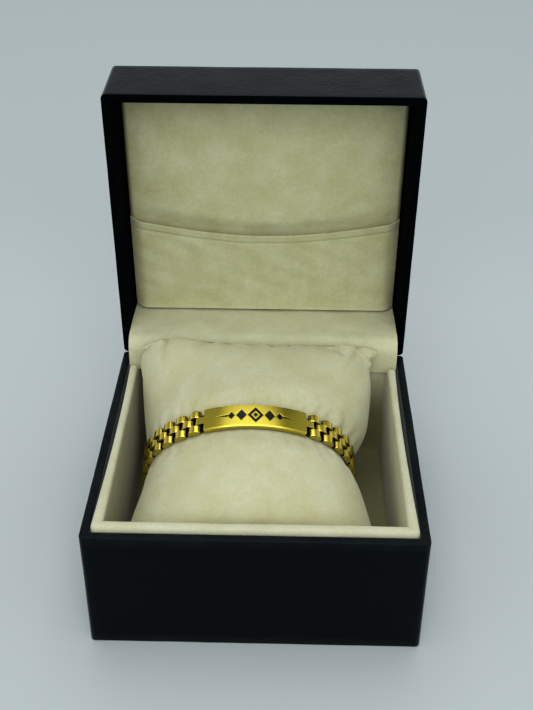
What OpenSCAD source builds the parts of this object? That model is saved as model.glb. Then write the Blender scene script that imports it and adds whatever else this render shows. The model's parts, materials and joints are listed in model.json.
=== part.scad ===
// Nameplate bracelet on its velvet cushion in a hinged gift box.
// Millimetres, +Z up. The origin is the centre of the base's underside.
// +X is to the right, +Y is towards the hinge.

/* [Box] */
// Width of the box
box_w = 105; // [99:0.5:120]
// Depth of the box, front to back
box_d = 101.5; // [99:0.5:115]
// Height of the base, up to the middle of the gap between the rims
base_h = 44.4; // [42:0.2:50]
// Height of the lid, from the middle of the gap between the rims
lid_h = 25.8; // [24:0.2:32]
// Thickness of the covered board in walls, floor and top
board = 2.8; // [2.4:0.1:3.4]
// Radius of the upright outer corners
corner_r = 1.6; // [0.8:0.1:3]
// Gap between the rims of the closed box
rim_gap = 0.3; // [0.2:0.05:0.6]
// Angle at which the lid stands open
lid_open = 87.2; // [60:0.2:100]

/* [Hinge] */
// Length of the hinge
hinge_l = 50; // [30:1:70]
// Outer radius of the knuckles
knuckle_r = 1.25; // [1.2:0.05:1.4]
// Radius of the hinge pin
hinge_pin_r = 0.6; // [0.4:0.05:0.7]
// Thickness of the leaves let into the rims
leaf_t = 0.6; // [0.4:0.05:0.8]
// Radial clearance of the pin in the knuckles
pin_fit = 0.05; // [0.03:0.01:0.1]
// Clearance round the knuckles and between them
hinge_gap = 0.3; // [0.2:0.05:0.4]

/* [Velvet] */
// Thickness of the padded collar in the base
collar_t = 3.6; // [3:0.1:4.2]
// Height of the collar above the base's rim
collar_rise = 1.6; // [1:0.1:2.2]
// Thickness of the collar's floor
collar_floor = 1.6; // [1:0.1:2.5]
// Thickness of the loose velvet in the flap and the pocket
velvet_t = 1.2; // [1:0.1:1.6]
// Thickness of the lid's pad at its edge
pad_edge_t = 3; // [2:0.1:3.4]
// Extra thickness of the lid's pad at its middle
pad_crown = 3; // [1:0.1:3.2]
// Clearance between soft pieces and their neighbours
soft_gap = 0.3; // [0.2:0.05:0.5]

/* [Pocket and flap] */
// Distance from the hinge line to the lower end of the lid's pad
pad_start = 10.2; // [9:0.1:12]
// Height of the pocket at its sides
pocket_h = 37.6; // [30:0.2:45]
// How far the middle of the pocket's top edge sags
pocket_sag = 6; // [2:0.2:9]
// Depth of the pocket's front face below the lid's rim
pocket_depth = 14.8; // [14:0.1:16]
// Radius of the flap's nose, at the middle of the velvet
nose_r = 4.6; // [3.6:0.1:5]
// Swell of the flap above its seam with the pad
flap_swell = 0.9; // [0.4:0.1:1.4]
// Depth of the flap's lower edge below the base's rim
flap_drop = 2.4; // [2:0.1:6]
// How far in front of the flap the collar's side walls stop
flap_room = 3.5; // [1:0.1:5]
// Share of the pocket's half width over which each side curves back
pocket_bend = 0.1; // [0.05:0.01:0.3]

/* [Loop of the bracelet] */
// Width of the loop between the lines of pins
loop_w = 71.6; // [68:0.2:74]
// Radius of the top of the loop, which is also the plate's
loop_top_r = 44; // [40:0.5:50]
// Turn over which the loop keeps its top radius, each side
loop_top_turn = 34; // [30:1:38]
// Radius of the lower corners of the loop
loop_low_r = 13; // [11:0.5:16]
// Turn at which the loop's lower corner ends
loop_low_turn = 165; // [155:1:170]
// Tilt of the bracelet and its cushion, front end down
tilt = 13; // [10:0.5:14]
// Turn of the bracelet about the upright line, right end back
ring_yaw = 1.4; // [-2:0.2:2]
// Lean of the bracelet in its own plane, right end up
ring_lean = 1; // [-2:0.2:2]
// How far the plate is slid along the loop to the right
plate_slide = 2.9; // [0:0.1:5]

/* [Band] */
// Width of the band and the plate
band_w = 9; // [8:0.1:10]
// Length of the plate between its shoulders
plate_l = 34; // [28:0.5:40]
// Thickness of the plate
plate_t = 1.9; // [1.6:0.05:2]
// Bevel along the plate's upper edges
plate_bevel = 0.35; // [0.2:0.05:0.5]
// Pitch of the outer links that the maker aims at
link_pitch = 5.3; // [5:0.01:5.5]
// Share of the pitch that a link fills
link_fill = 0.85; // [0.8:0.01:0.86]
// Height of a link above the line of pins
link_top = 1.2; // [1.1:0.05:1.3]
// Depth of a link below the line of pins
link_low = 1; // [0.95:0.05:1.1]
// Radius of a link's domed top
link_dome_r = 2.7; // [2.6:0.1:5]
// Radius of a link's rounded edges
link_edge_r = 0.8; // [0.5:0.05:0.9]
// Radius of the link pins
link_pin_r = 0.4; // [0.3:0.05:0.45]
// Clearance between links, pins and plate
link_gap = 0.12; // [0.1:0.01:0.15]
// Distance from a shoulder to the first pin
tab_reach = 2.4; // [2.2:0.05:2.6]
// How far the faces of a tab lie inside the plate's
tab_inset = 0.1; // [0.05:0.01:0.2]
// Radius of a tab's round end
tab_end_r = 0.85; // [0.82:0.01:0.88]
// Length of the clasp between its shoulders
clasp_l = 12; // [11:0.5:22]

/* [Cushion] */
// Length of the cushion in front of the bracelet
cushion_front = 46; // [40:0.5:47]
// Length of the cushion behind the bracelet
cushion_back = 41; // [36:0.5:42]
// Room between the cushion's front seam and the collar
cushion_room = 1.75; // [1:0.05:3]
// Clearance between the bracelet and the cushion
cushion_gap = 0.25; // [0.15:0.05:0.4]

/* [Hidden] */

// Small overlap that joins the pieces of one solid
eps = 0.01;
// Sides of round edges, bores and pins
$fn = 32;

leatherette = "#15181d";
velvet = "#cfcbad";
gold = "#d8b23c";
brass = "#b08d3e";

// Inside of the shells
inner_w = box_w - 2 * board;
inner_d = box_d - 2 * board;
// Outside of the collar, which also enters the closed lid
collar_w = inner_w - 2 * rim_gap;
collar_d = inner_d - 2 * rim_gap;
collar_top = base_h + collar_rise;

// Loop: half width, widest level below the top, and the arcs' lengths and radii
half_w = loop_w / 2;
top_reach = loop_top_r * sin(loop_top_turn);
loop_side_r = (half_w - top_reach) / (1 - sin(loop_top_turn));
low_reach = half_w - loop_low_r * (1 - sin(loop_low_turn));
loop_floor_r = low_reach / sin(loop_low_turn);
top_arc = arc_length(loop_top_r, loop_top_turn);
side_arc = top_arc + arc_length(loop_side_r, 90 - loop_top_turn);
low_arc = side_arc + arc_length(loop_low_r, loop_low_turn - 90);
half_loop = low_arc + arc_length(loop_floor_r, 180 - loop_low_turn);
widest = loop_drop(90);

// Bracelet: the run of pins on each side, between the plate's tab and the clasp's
first_pin = plate_l / 2 + tab_reach;
pin_run = half_loop - first_pin - clasp_l / 2 - tab_reach;
link_pairs = round((2 * pin_run / link_pitch + 1) / 2);
pins = 2 * link_pairs;
pin_pitch = pin_run / (pins - 1);
link_l = 2 * pin_pitch * link_fill;
column_w = (band_w - 2 * link_gap) / 3;
link_pin_l = band_w - 2 * link_gap;

// Cushion sections: place along the axis as a share of the front or back length, added half width
// and sideways shift as shares of the room beside the loop, then rise, top and bottom as shares of
// the loop's height above and below its widest level
//        place  wider  shift rise   top    bottom
CUSHION = [
    [-1,     -0.07, 0.18, 0,    0.03,  0.05],
    [-0.975, 0.21,  0.18, 0,    0.34,  0.22],
    [-0.92,  0.36,  0.18, 0,    0.66,  0.5],
    [-0.83,  0.43,  0.18, 0,    0.85,  0.84],
    [-0.7,   0.43,  0.18, 0,    0.93,  1.09],
    [-0.5,   0.29,  0.16, 0,    0.985, 1.24],
    [-0.3,   0.11,  0.13, 0,    1.015, 1.24],
    [-0.165, 0.02,  0.04, 0,    1.015, 1.05],
    [-0.12,  0,     0,    0,    1,     1],
    [0.135,  0,     0,    0,    1,     1],
    [0.185,  0.07,  0.07, 0,    1.015, 1.03],
    [0.35,   0.39,  0.18, 0.02, 0.985, 1.02],
    [0.55,   0.57,  0.21, 0.1,  0.85,  0.93],
    [0.75,   0.68,  0.24, 0.27, 0.61,  0.84],
    [0.9,    0.75,  0.29, 0.43, 0.36,  0.62],
    [0.97,   0.77,  0.31, 0.55, 0.18,  0.32],
    [1,      0.77,  0.31, 0.62, 0.03,  0.05]];
CUSHION_SIDES = 56;

// Place of the top of the loop: left of the middle of the room beside it, the cushion's seam near
// the collar's front, and the cushion's lowest point on the collar's floor
side_room = collar_w / 2 - collar_t - half_w;
ring_x = -0.4 * side_room;
ring_y = collar_t + cushion_room - collar_d / 2 + cushion_front * cos(tilt) - widest * sin(tilt);
ring_z = board + collar_floor + soft_gap - min([for (row = CUSHION, k = [0 : CUSHION_SIDES - 1])
    tilted_height(cushion_point(row, k))]);

// Rows of points across the pad and the pocket, and along the flap's nose
PAD_STEPS = 12;
NOSE_STEPS = 10;

// Length of an arc of radius r over a turn in degrees
function arc_length(r, turn) = r * turn * PI / 180;

// Turn, in degrees, that the loop has made at a length s from its top
function turn_at(s) =
    s < top_arc ? s / loop_top_r * 180 / PI :
    s < side_arc ? loop_top_turn + (s - top_arc) / loop_side_r * 180 / PI :
    s < low_arc ? 90 + (s - side_arc) / loop_low_r * 180 / PI :
    loop_low_turn + (s - low_arc) / loop_floor_r * 180 / PI;

// Distance out to the side, and drop below the top, where the loop has made a turn
function loop_side(turn) =
    turn < loop_top_turn ? loop_top_r * sin(turn) :
    turn < 90 ? top_reach + loop_side_r * (sin(turn) - sin(loop_top_turn)) :
    turn < loop_low_turn ? half_w - loop_low_r * (1 - sin(turn)) :
    loop_floor_r * sin(turn);
function loop_drop(turn) =
    turn < loop_top_turn ? loop_top_r * (1 - cos(turn)) :
    turn < 90 ? loop_drop_to_top() + loop_side_r * (cos(loop_top_turn) - cos(turn)) :
    turn < loop_low_turn ? loop_drop_to_side() - loop_low_r * cos(turn) :
    loop_drop_to_side() - loop_low_r * cos(loop_low_turn)
        + loop_floor_r * (cos(loop_low_turn) - cos(turn));
function loop_drop_to_top() = loop_top_r * (1 - cos(loop_top_turn));
function loop_drop_to_side() = loop_drop_to_top() + loop_side_r * cos(loop_top_turn);

// A length along the loop brought back to the nearer side of its top
function wrapped(s) = s > half_loop ? s - 2 * half_loop : s < -half_loop ? s + 2 * half_loop : s;

// Point [x, z] of the loop at a signed length s from its top, moved outwards by an offset
function loop_point(s, out = 0) =
    let (w = wrapped(s), side = w < 0 ? -1 : 1, turn = turn_at(abs(w)))
    [side * (loop_side(turn) + out * sin(turn)), out * cos(turn) - loop_drop(turn)];

// Signed length along the loop of pin i on a side, counted from the plate
function pin_place(side, i) = plate_slide + side * (first_pin + i * pin_pitch);

// Two triangles for each cell of a grid of points, wound one way or the other
function grid_faces(rows, cols, start, flip) = [
    for (i = [0 : rows - 2], j = [0 : cols - 2])
        let (a = start + i * cols + j, b = a + 1, c = a + cols + 1, d = a + cols)
        each (flip ? [[a, c, b], [a, d, c]] : [[a, b, c], [a, c, d]])];

// Faces that close the four edges between two grids of the same size
function rim_faces(rows, cols) =
    let (n = rows * cols,
         edge = concat([for (j = [0 : cols - 2]) j],
                       [for (i = [0 : rows - 2]) i * cols + cols - 1],
                       [for (j = [cols - 1 : -1 : 1]) (rows - 1) * cols + j],
                       [for (i = [rows - 1 : -1 : 1]) i * cols]))
    [for (k = [0 : len(edge) - 1])
        let (a = edge[k], b = edge[(k + 1) % len(edge)])
        each [[a, a + n, b + n], [a, b + n, b]]];

// Closed slab between two grids of points, listed row by row
module slab(front, back, rows, cols) {
    polyhedron(concat(front, back),
               concat(grid_faces(rows, cols, 0, false), grid_faces(rows, cols, rows * cols, true),
                      rim_faces(rows, cols)));
}

// Rectangle with rounded corners, centred
module rounded_rect(w, d, r) {
    square([w - 2 * r, d], center = true);
    square([w, d - 2 * r], center = true);
    for (x = [-1, 1], y = [-1, 1])
        translate([x * (w / 2 - r), y * (d / 2 - r)]) circle(r);
}

// Moves children from the closed lid's place about the hinge line to the open lid's
module on_lid() {
    translate([0, box_d / 2, base_h]) rotate([-lid_open, 0, 0]) children();
}

// Moves children from the top of the loop, lying in the XZ plane, to the bracelet's place
module on_ring() {
    translate([ring_x, ring_y, ring_z]) rotate([tilt, -ring_lean, ring_yaw]) children();
}

// Height above the top of the loop, in the bracelet's place, of a point drawn in the loop's frame
function tilted_height(p) =
    p[0] * sin(ring_lean) + (p[1] * sin(tilt) + p[2] * cos(tilt)) * cos(ring_lean);

// Room for the hinge in a rim, drawn about the hinge line with the wall below
module hinge_room() {
    rotate([0, 90, 0])
        cylinder(r = knuckle_r + hinge_gap, h = hinge_l + 2 * hinge_gap, center = true);
    translate([-hinge_l / 2 - hinge_gap, -2 * board, -rim_gap / 2 - leaf_t])
        cube([hinge_l + 2 * hinge_gap, 2 * board, leaf_t + rim_gap]);
}

// Leaf and knuckles of one half of the hinge, drawn about the hinge line with the wall below
module hinge_half(knuckles) {
    knuckle_l = hinge_l / 5;
    difference() {
        union() {
            translate([-hinge_l / 2, -board, -rim_gap / 2 - leaf_t])
                cube([hinge_l, board - knuckle_r - hinge_gap, leaf_t]);
            for (k = knuckles) translate([(k - 2) * knuckle_l, 0, 0]) {
                rotate([0, 90, 0])
                    cylinder(r = knuckle_r, h = knuckle_l - hinge_gap, center = true);
                translate([(hinge_gap - knuckle_l) / 2, -board, -rim_gap / 2 - leaf_t])
                    cube([knuckle_l - hinge_gap, board, leaf_t]);
            }
        }
        rotate([0, 90, 0])
            cylinder(r = hinge_pin_r + pin_fit, h = hinge_l + 2, center = true);
    }
}

module base_shell() {
    color(leatherette) difference() {
        linear_extrude(base_h - rim_gap / 2) rounded_rect(box_w, box_d, corner_r);
        translate([0, 0, board])
            linear_extrude(base_h) square([inner_w, inner_d], center = true);
        translate([0, box_d / 2, base_h]) hinge_room();
    }
}

// Padded wall of the collar with a round top, along X at the front, mitred at its ends
module collar_side(wall_l, reach) {
    intersection() {
        linear_extrude(collar_top + 1)
            polygon([[-wall_l / 2, -reach], [wall_l / 2, -reach],
                     [wall_l / 2 - collar_t, collar_t - reach],
                     [collar_t - wall_l / 2, collar_t - reach]]);
        translate([0, collar_t / 2 - reach, 0]) rotate([90, 0, 90])
            linear_extrude(wall_l, center = true) {
                translate([-collar_t / 2, board])
                    square([collar_t, collar_top - collar_t / 2 - board]);
                translate([0, collar_top - collar_t / 2]) circle(collar_t / 2);
            }
    }
}

// Room for the two ends of the flap, across the side walls of the collar
module flap_seat() {
    translate([-collar_w / 2 - 1, flap_front_y - velvet_t / 2 - flap_room, flap_low_z - soft_gap])
        cube([collar_w + 2, flap_room + velvet_t + soft_gap, base_h]);
}

module base_collar() {
    color(velvet) {
        for (a = [0, 180]) rotate(a) collar_side(collar_w, collar_d / 2);
        for (a = [90, 270]) difference() {
            rotate(a) collar_side(collar_d, collar_w / 2);
            flap_seat();
        }
        translate([-collar_w / 2 + collar_t - eps, -collar_d / 2 + collar_t - eps, board])
            cube([collar_w - 2 * collar_t + 2 * eps, collar_d - 2 * collar_t + 2 * eps,
                  collar_floor]);
    }
}

// Point k round the cushion's section, whose outline is the loop's drawn inwards
function cushion_point(row, k) =
    let (p = loop_point(2 * half_loop * k / CUSHION_SIDES, -link_low - cushion_gap),
         above = p[1] + widest,
         reach = row[0] < 0 ? cushion_front : cushion_back)
    [row[2] * side_room + p[0] * (1 + row[1] * side_room / half_w), row[0] * reach,
     row[3] * widest - widest + above * (above > 0 ? row[4] : row[5])];

// Padded cushion with a waist under the bracelet and a seam at each end
module cushion() {
    rows = len(CUSHION);
    points = [for (row = CUSHION, k = [0 : CUSHION_SIDES - 1]) cushion_point(row, k)];
    caps = [for (row = [CUSHION[0], CUSHION[rows - 1]])
        [row[2] * side_room, row[0] < 0 ? -cushion_front : cushion_back,
         row[3] * widest - widest]];
    last = (rows - 1) * CUSHION_SIDES;
    faces = [for (i = [0 : rows - 2], k = [0 : CUSHION_SIDES - 1])
        let (a = i * CUSHION_SIDES + k, b = i * CUSHION_SIDES + (k + 1) % CUSHION_SIDES,
             c = b + CUSHION_SIDES, d = a + CUSHION_SIDES)
        each [[a, c, b], [a, d, c]]];
    ends = [for (k = [0 : CUSHION_SIDES - 1]) let (m = (k + 1) % CUSHION_SIDES)
        each [[len(points), k, m], [len(points) + 1, last + m, last + k]]];
    color(velvet) on_ring() polyhedron(concat(points, caps), concat(faces, ends));
}

// Curved bar between two lengths along an arc, drawn from the arc's top, with the section its
// children draw in [height above the underside, place across the band]
module arc_bar(radius, from, to) {
    translate([0, 0, -radius]) rotate([90, 0, 0]) rotate(90 - to / radius * 180 / PI)
        rotate_extrude(angle = (to - from) / radius * 180 / PI, $fn = 180)
            translate([radius - link_low, 0]) children();
}

// Section of the plate, bevelled along its upper edges
module plate_section() {
    half = band_w / 2;
    polygon([[0, -half], [plate_t - plate_bevel, -half], [plate_t, plate_bevel - half],
             [plate_t, half - plate_bevel], [plate_t - plate_bevel, half], [0, half]]);
}

// Bore or pin along the band's width at pin i
module at_pin(side, i) {
    p = loop_point(pin_place(side, i));
    translate([p[0], 0, p[1]]) rotate([90, 0, 0]) children();
}

// Side view of the tabs: a strip along an arc about the origin, round and bored at each end
module tab_strip(radius, from, to) {
    tab_half = plate_t - link_low - tab_inset;
    far = 2 * radius;
    difference() {
        union() {
            intersection() {
                difference() {
                    circle(radius + tab_half, $fn = 180);
                    circle(radius - tab_half, $fn = 180);
                }
                polygon([[0, 0], for (place = [from, to])
                    far * [sin(place / radius * 180 / PI), cos(place / radius * 180 / PI)]]);
            }
            for (place = [from, to]) arc_spot(radius, place) circle(tab_end_r, $fn = 64);
        }
        for (place = [from, to]) arc_spot(radius, place)
            circle(link_pin_r + link_gap, $fn = 48);
    }
}

// Place on an arc about the origin, at a length from its top
module arc_spot(radius, place) {
    turn = place / radius * 180 / PI;
    translate(radius * [sin(turn), cos(turn)]) children();
}

// Curved bar with a bored tab at each end, slid along its arc as the plate is
module tabbed_bar(radius, bar_l, slide) {
    reach = bar_l / 2 + tab_reach;
    arc_bar(radius, slide - bar_l / 2, slide + bar_l / 2) plate_section();
    translate([0, 0, -radius]) rotate([90, 0, 0])
        linear_extrude(column_w, center = true) tab_strip(radius, slide - reach, slide + reach);
}

module name_plate() {
    color(gold) on_ring() tabbed_bar(loop_top_r, plate_l, plate_slide);
}

// Side view of a link: flat below, domed above, with rounded edges
module link_side() {
    intersection() {
        translate([0, (link_top - link_low) / 2])
            rounded_rect(link_l, link_top + link_low, link_edge_r);
        translate([0, link_top - link_dome_r]) circle(link_dome_r, $fn = 96);
    }
}

// Link between pins i and i + 1, in the middle column or in both outer ones
module link(side, i, outer) {
    a = loop_point(pin_place(side, i));
    b = loop_point(pin_place(side, i + 1));
    lean = atan2(a[1] - b[1], side * (b[0] - a[0])) * side;
    translate([(a[0] + b[0]) / 2, 0, (a[1] + b[1]) / 2]) rotate([0, lean, 0]) difference() {
        for (column = outer ? [-1, 1] : [0])
            translate([0, column * (column_w + link_gap), 0]) rotate([90, 0, 0])
                linear_extrude(column_w, center = true) link_side();
        for (x = [-1, 1]) translate([x * pin_pitch / 2, 0, 0]) rotate([90, 0, 0])
            cylinder(r = link_pin_r + link_gap, h = band_w + 1, center = true);
    }
}

// One side of the chain, from the plate to the clasp: links that turn on loose pins
module chain(side) {
    color(gold) on_ring() for (i = [0 : pins - 1]) {
        if (i < pins - 1) link(side, i, i % 2 == 0);
        at_pin(side, i) cylinder(r = link_pin_r, h = link_pin_l, center = true);
    }
}

module chain_left() chain(-1);

module chain_right() chain(1);

// Plain clasp, a bar with a tab at each end, on the flat floor of the loop
module clasp() {
    color(gold) on_ring() translate([0, 0, -loop_drop(180)]) rotate([0, 180, 0])
        tabbed_bar(loop_floor_r, clasp_l, plate_slide);
}

module hinge_base_leaf() {
    color(brass) translate([0, box_d / 2, base_h]) hinge_half([0, 2, 4]);
}

// The lid's half is the base's turned over, which puts its wall above the hinge line
module hinge_lid_leaf() {
    color(brass) on_lid() mirror([0, 0, 1]) hinge_half([1, 3]);
}

// Pin with a flat head at each end
module hinge_pin() {
    color(brass) translate([0, box_d / 2, base_h]) rotate([0, 90, 0]) {
        cylinder(r = hinge_pin_r, h = hinge_l, center = true);
        for (x = [-1, 1]) translate([0, 0, x * (hinge_l + hinge_gap) / 2])
            cylinder(r = (hinge_pin_r + knuckle_r) / 2, h = hinge_gap, center = true);
    }
}

module lid_shell() {
    color(leatherette) on_lid() difference() {
        translate([0, -box_d / 2, rim_gap / 2])
            linear_extrude(lid_h - rim_gap / 2) rounded_rect(box_w, box_d, corner_r);
        translate([0, -box_d / 2, -1])
            linear_extrude(lid_h - board + 1) square([inner_w, inner_d], center = true);
        mirror([0, 0, 1]) hinge_room();
    }
}

// Half width and far end of the lid's pad
pad_half_w = inner_w / 2 - soft_gap;
pad_end = box_d - board - soft_gap;
pad_top = lid_h - board;

// Share from 0 at the edges of the pad to 1 at its middle, at shares u and v across it
function crown(u, v) = sqrt(sin(180 * u)) * sqrt(sin(180 * v));

// Crowned pad glued into the lid's top
module lid_pad() {
    front = [for (i = [0 : PAD_STEPS], j = [0 : PAD_STEPS])
        let (u = i / PAD_STEPS, v = j / PAD_STEPS)
        [(2 * u - 1) * pad_half_w, -pad_start - v * (pad_end - pad_start),
         pad_top - pad_edge_t - pad_crown * crown(u, v)]];
    back = [for (p = front) [p[0], p[1], pad_top]];
    color(velvet) on_lid() slab(front, back, PAD_STEPS + 1, PAD_STEPS + 1);
}

// Height of the pocket at a share u across it
function pocket_rise(u) = pocket_h - pocket_sag * sin(180 * u);

// Depth of the pocket's front face: its sides curve back to the pad
function pocket_face(u) =
    let (side_depth = pad_top - pad_edge_t - velvet_t - soft_gap,
         bend = max(0, 1 - (1 - abs(2 * u - 1)) / pocket_bend))
    pocket_depth + (side_depth - pocket_depth) * pow(bend, 2);

// Pocket for papers: a sheet of velvet held at its foot and its sides
module lid_pocket() {
    front = [for (i = [0 : 2 * PAD_STEPS], j = [0 : 3])
        let (u = i / (2 * PAD_STEPS), v = j / 3)
        [(2 * u - 1) * (pad_half_w - soft_gap), -pad_start - v * pocket_rise(u), pocket_face(u)]];
    back = [for (p = front) [p[0], p[1], p[2] + velvet_t]];
    color(velvet) on_lid() slab(front, back, 2 * PAD_STEPS + 1, 4);
}

// The flap's path, in the YZ plane: from the pad's foot, over the collar's back wall and down
flap_front_y = collar_d / 2 - collar_t - soft_gap - velvet_t / 2;
flap_top_z = base_h + pad_start - soft_gap - velvet_t / 2;
flap_back_y = box_d / 2 + pad_top - 2 * soft_gap;
flap_low_z = base_h - flap_drop;
nose_top_z = flap_top_z + flap_swell;

// Points [y, z, direction of the outer side] along the middle of the flap's velvet
function flap_path() = concat(
    [[flap_back_y, flap_top_z, 90],
     [(flap_back_y + box_d / 2) / 2, flap_top_z + flap_swell / 4, 90]],
    [for (k = [0 : NOSE_STEPS]) let (a = 90 + 90 * k / NOSE_STEPS)
        [flap_front_y + nose_r + nose_r * cos(a), nose_top_z - nose_r + nose_r * sin(a), a]],
    [[flap_front_y, flap_low_z, 180]]);

// Loose velvet that joins the lid's pad to the base and hides the hinge
module hinge_flap() {
    path = flap_path();
    half = inner_w / 2 - 3 * soft_gap;
    side = function (out) [for (p = path, x = [-1, -0.5, 0, 0.5, 1])
        [x * half, p[0] + out * cos(p[2]), p[1] + out * sin(p[2])]];
    color(velvet) slab(side(-velvet_t / 2), side(velvet_t / 2), len(path), 5);
}

base_shell();
base_collar();
cushion();
name_plate();
chain_left();
chain_right();
clasp();
hinge_base_leaf();
hinge_pin();
hinge_flap();
hinge_lid_leaf();
lid_shell();
lid_pad();
lid_pocket();
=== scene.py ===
"""Looks of a nameplate bracelet on its velvet cushion in a hinged gift box.

Every length is in metres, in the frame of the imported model: +X to the right, +Y towards the
hinge, +Z up, with the origin at the centre of the base's underside.
"""

import json
import logging
from dataclasses import dataclass
from enum import Enum

import bpy
import numpy as np
from mathutils import Matrix, Vector


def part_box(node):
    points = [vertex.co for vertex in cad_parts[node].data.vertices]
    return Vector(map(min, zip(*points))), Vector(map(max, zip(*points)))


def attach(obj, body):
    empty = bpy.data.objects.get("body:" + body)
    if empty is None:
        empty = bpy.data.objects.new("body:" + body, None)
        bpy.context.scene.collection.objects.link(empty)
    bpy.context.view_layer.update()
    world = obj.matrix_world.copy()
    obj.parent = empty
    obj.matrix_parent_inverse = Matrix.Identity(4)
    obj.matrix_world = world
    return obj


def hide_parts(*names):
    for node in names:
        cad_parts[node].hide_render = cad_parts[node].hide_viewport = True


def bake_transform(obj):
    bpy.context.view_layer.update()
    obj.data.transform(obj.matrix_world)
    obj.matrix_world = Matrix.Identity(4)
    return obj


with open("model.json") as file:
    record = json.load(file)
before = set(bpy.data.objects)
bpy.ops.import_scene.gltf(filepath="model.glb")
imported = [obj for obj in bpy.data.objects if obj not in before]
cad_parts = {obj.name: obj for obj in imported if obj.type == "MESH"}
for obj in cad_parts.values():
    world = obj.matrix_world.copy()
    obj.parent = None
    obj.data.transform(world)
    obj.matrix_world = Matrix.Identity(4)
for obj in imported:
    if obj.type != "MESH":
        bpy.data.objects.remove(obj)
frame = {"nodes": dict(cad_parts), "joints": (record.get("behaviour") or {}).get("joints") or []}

log = logging.getLogger("gift_box")
MM = 0.001
Colour = tuple[float, float, float]
Point = tuple[float, float, float]
Piece = bpy.types.Object
Material = bpy.types.Material
Socket = bpy.types.NodeSocket


class Slot(Enum):
    """Material slots of the record, named in the log of each new piece."""

    LEATHERETTE = "leatherette"
    LINING = "velvet_lining"
    CUSHION = "velvet_cushion"
    GOLD = "gold"


class Side(Enum):
    """Sides of the bracelet, as the sign of X."""

    LEFT = -1
    RIGHT = 1


# Grids of points and their meshes


def link_object(name: str, data: bpy.types.ID) -> Piece:
    """New object that holds a mesh, a camera or a light, linked to the scene."""
    made = bpy.data.objects.new(name, data)
    bpy.context.scene.collection.objects.link(made)
    return made


def grid_quads(rows: int, cols: int, ring: bool) -> np.ndarray:
    """Corner numbers of the cells of a grid of points stored row by row.

    A cell joins rows i and i + 1 with columns j and j + 1; in a ring the last column joins the
    first.

    Args:
        rows: Number of rows.
        cols: Number of columns.
        ring: Whether the columns close on themselves.

    Returns:
        Four corner numbers for each cell.
    """
    i, j = np.meshgrid(np.arange(rows - 1), np.arange(cols if ring else cols - 1), indexing="ij")
    a = i * cols + j
    b = i * cols + (j + 1) % cols
    return np.stack([a, b, b + cols, a + cols], axis=-1).reshape(-1, 4)


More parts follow.
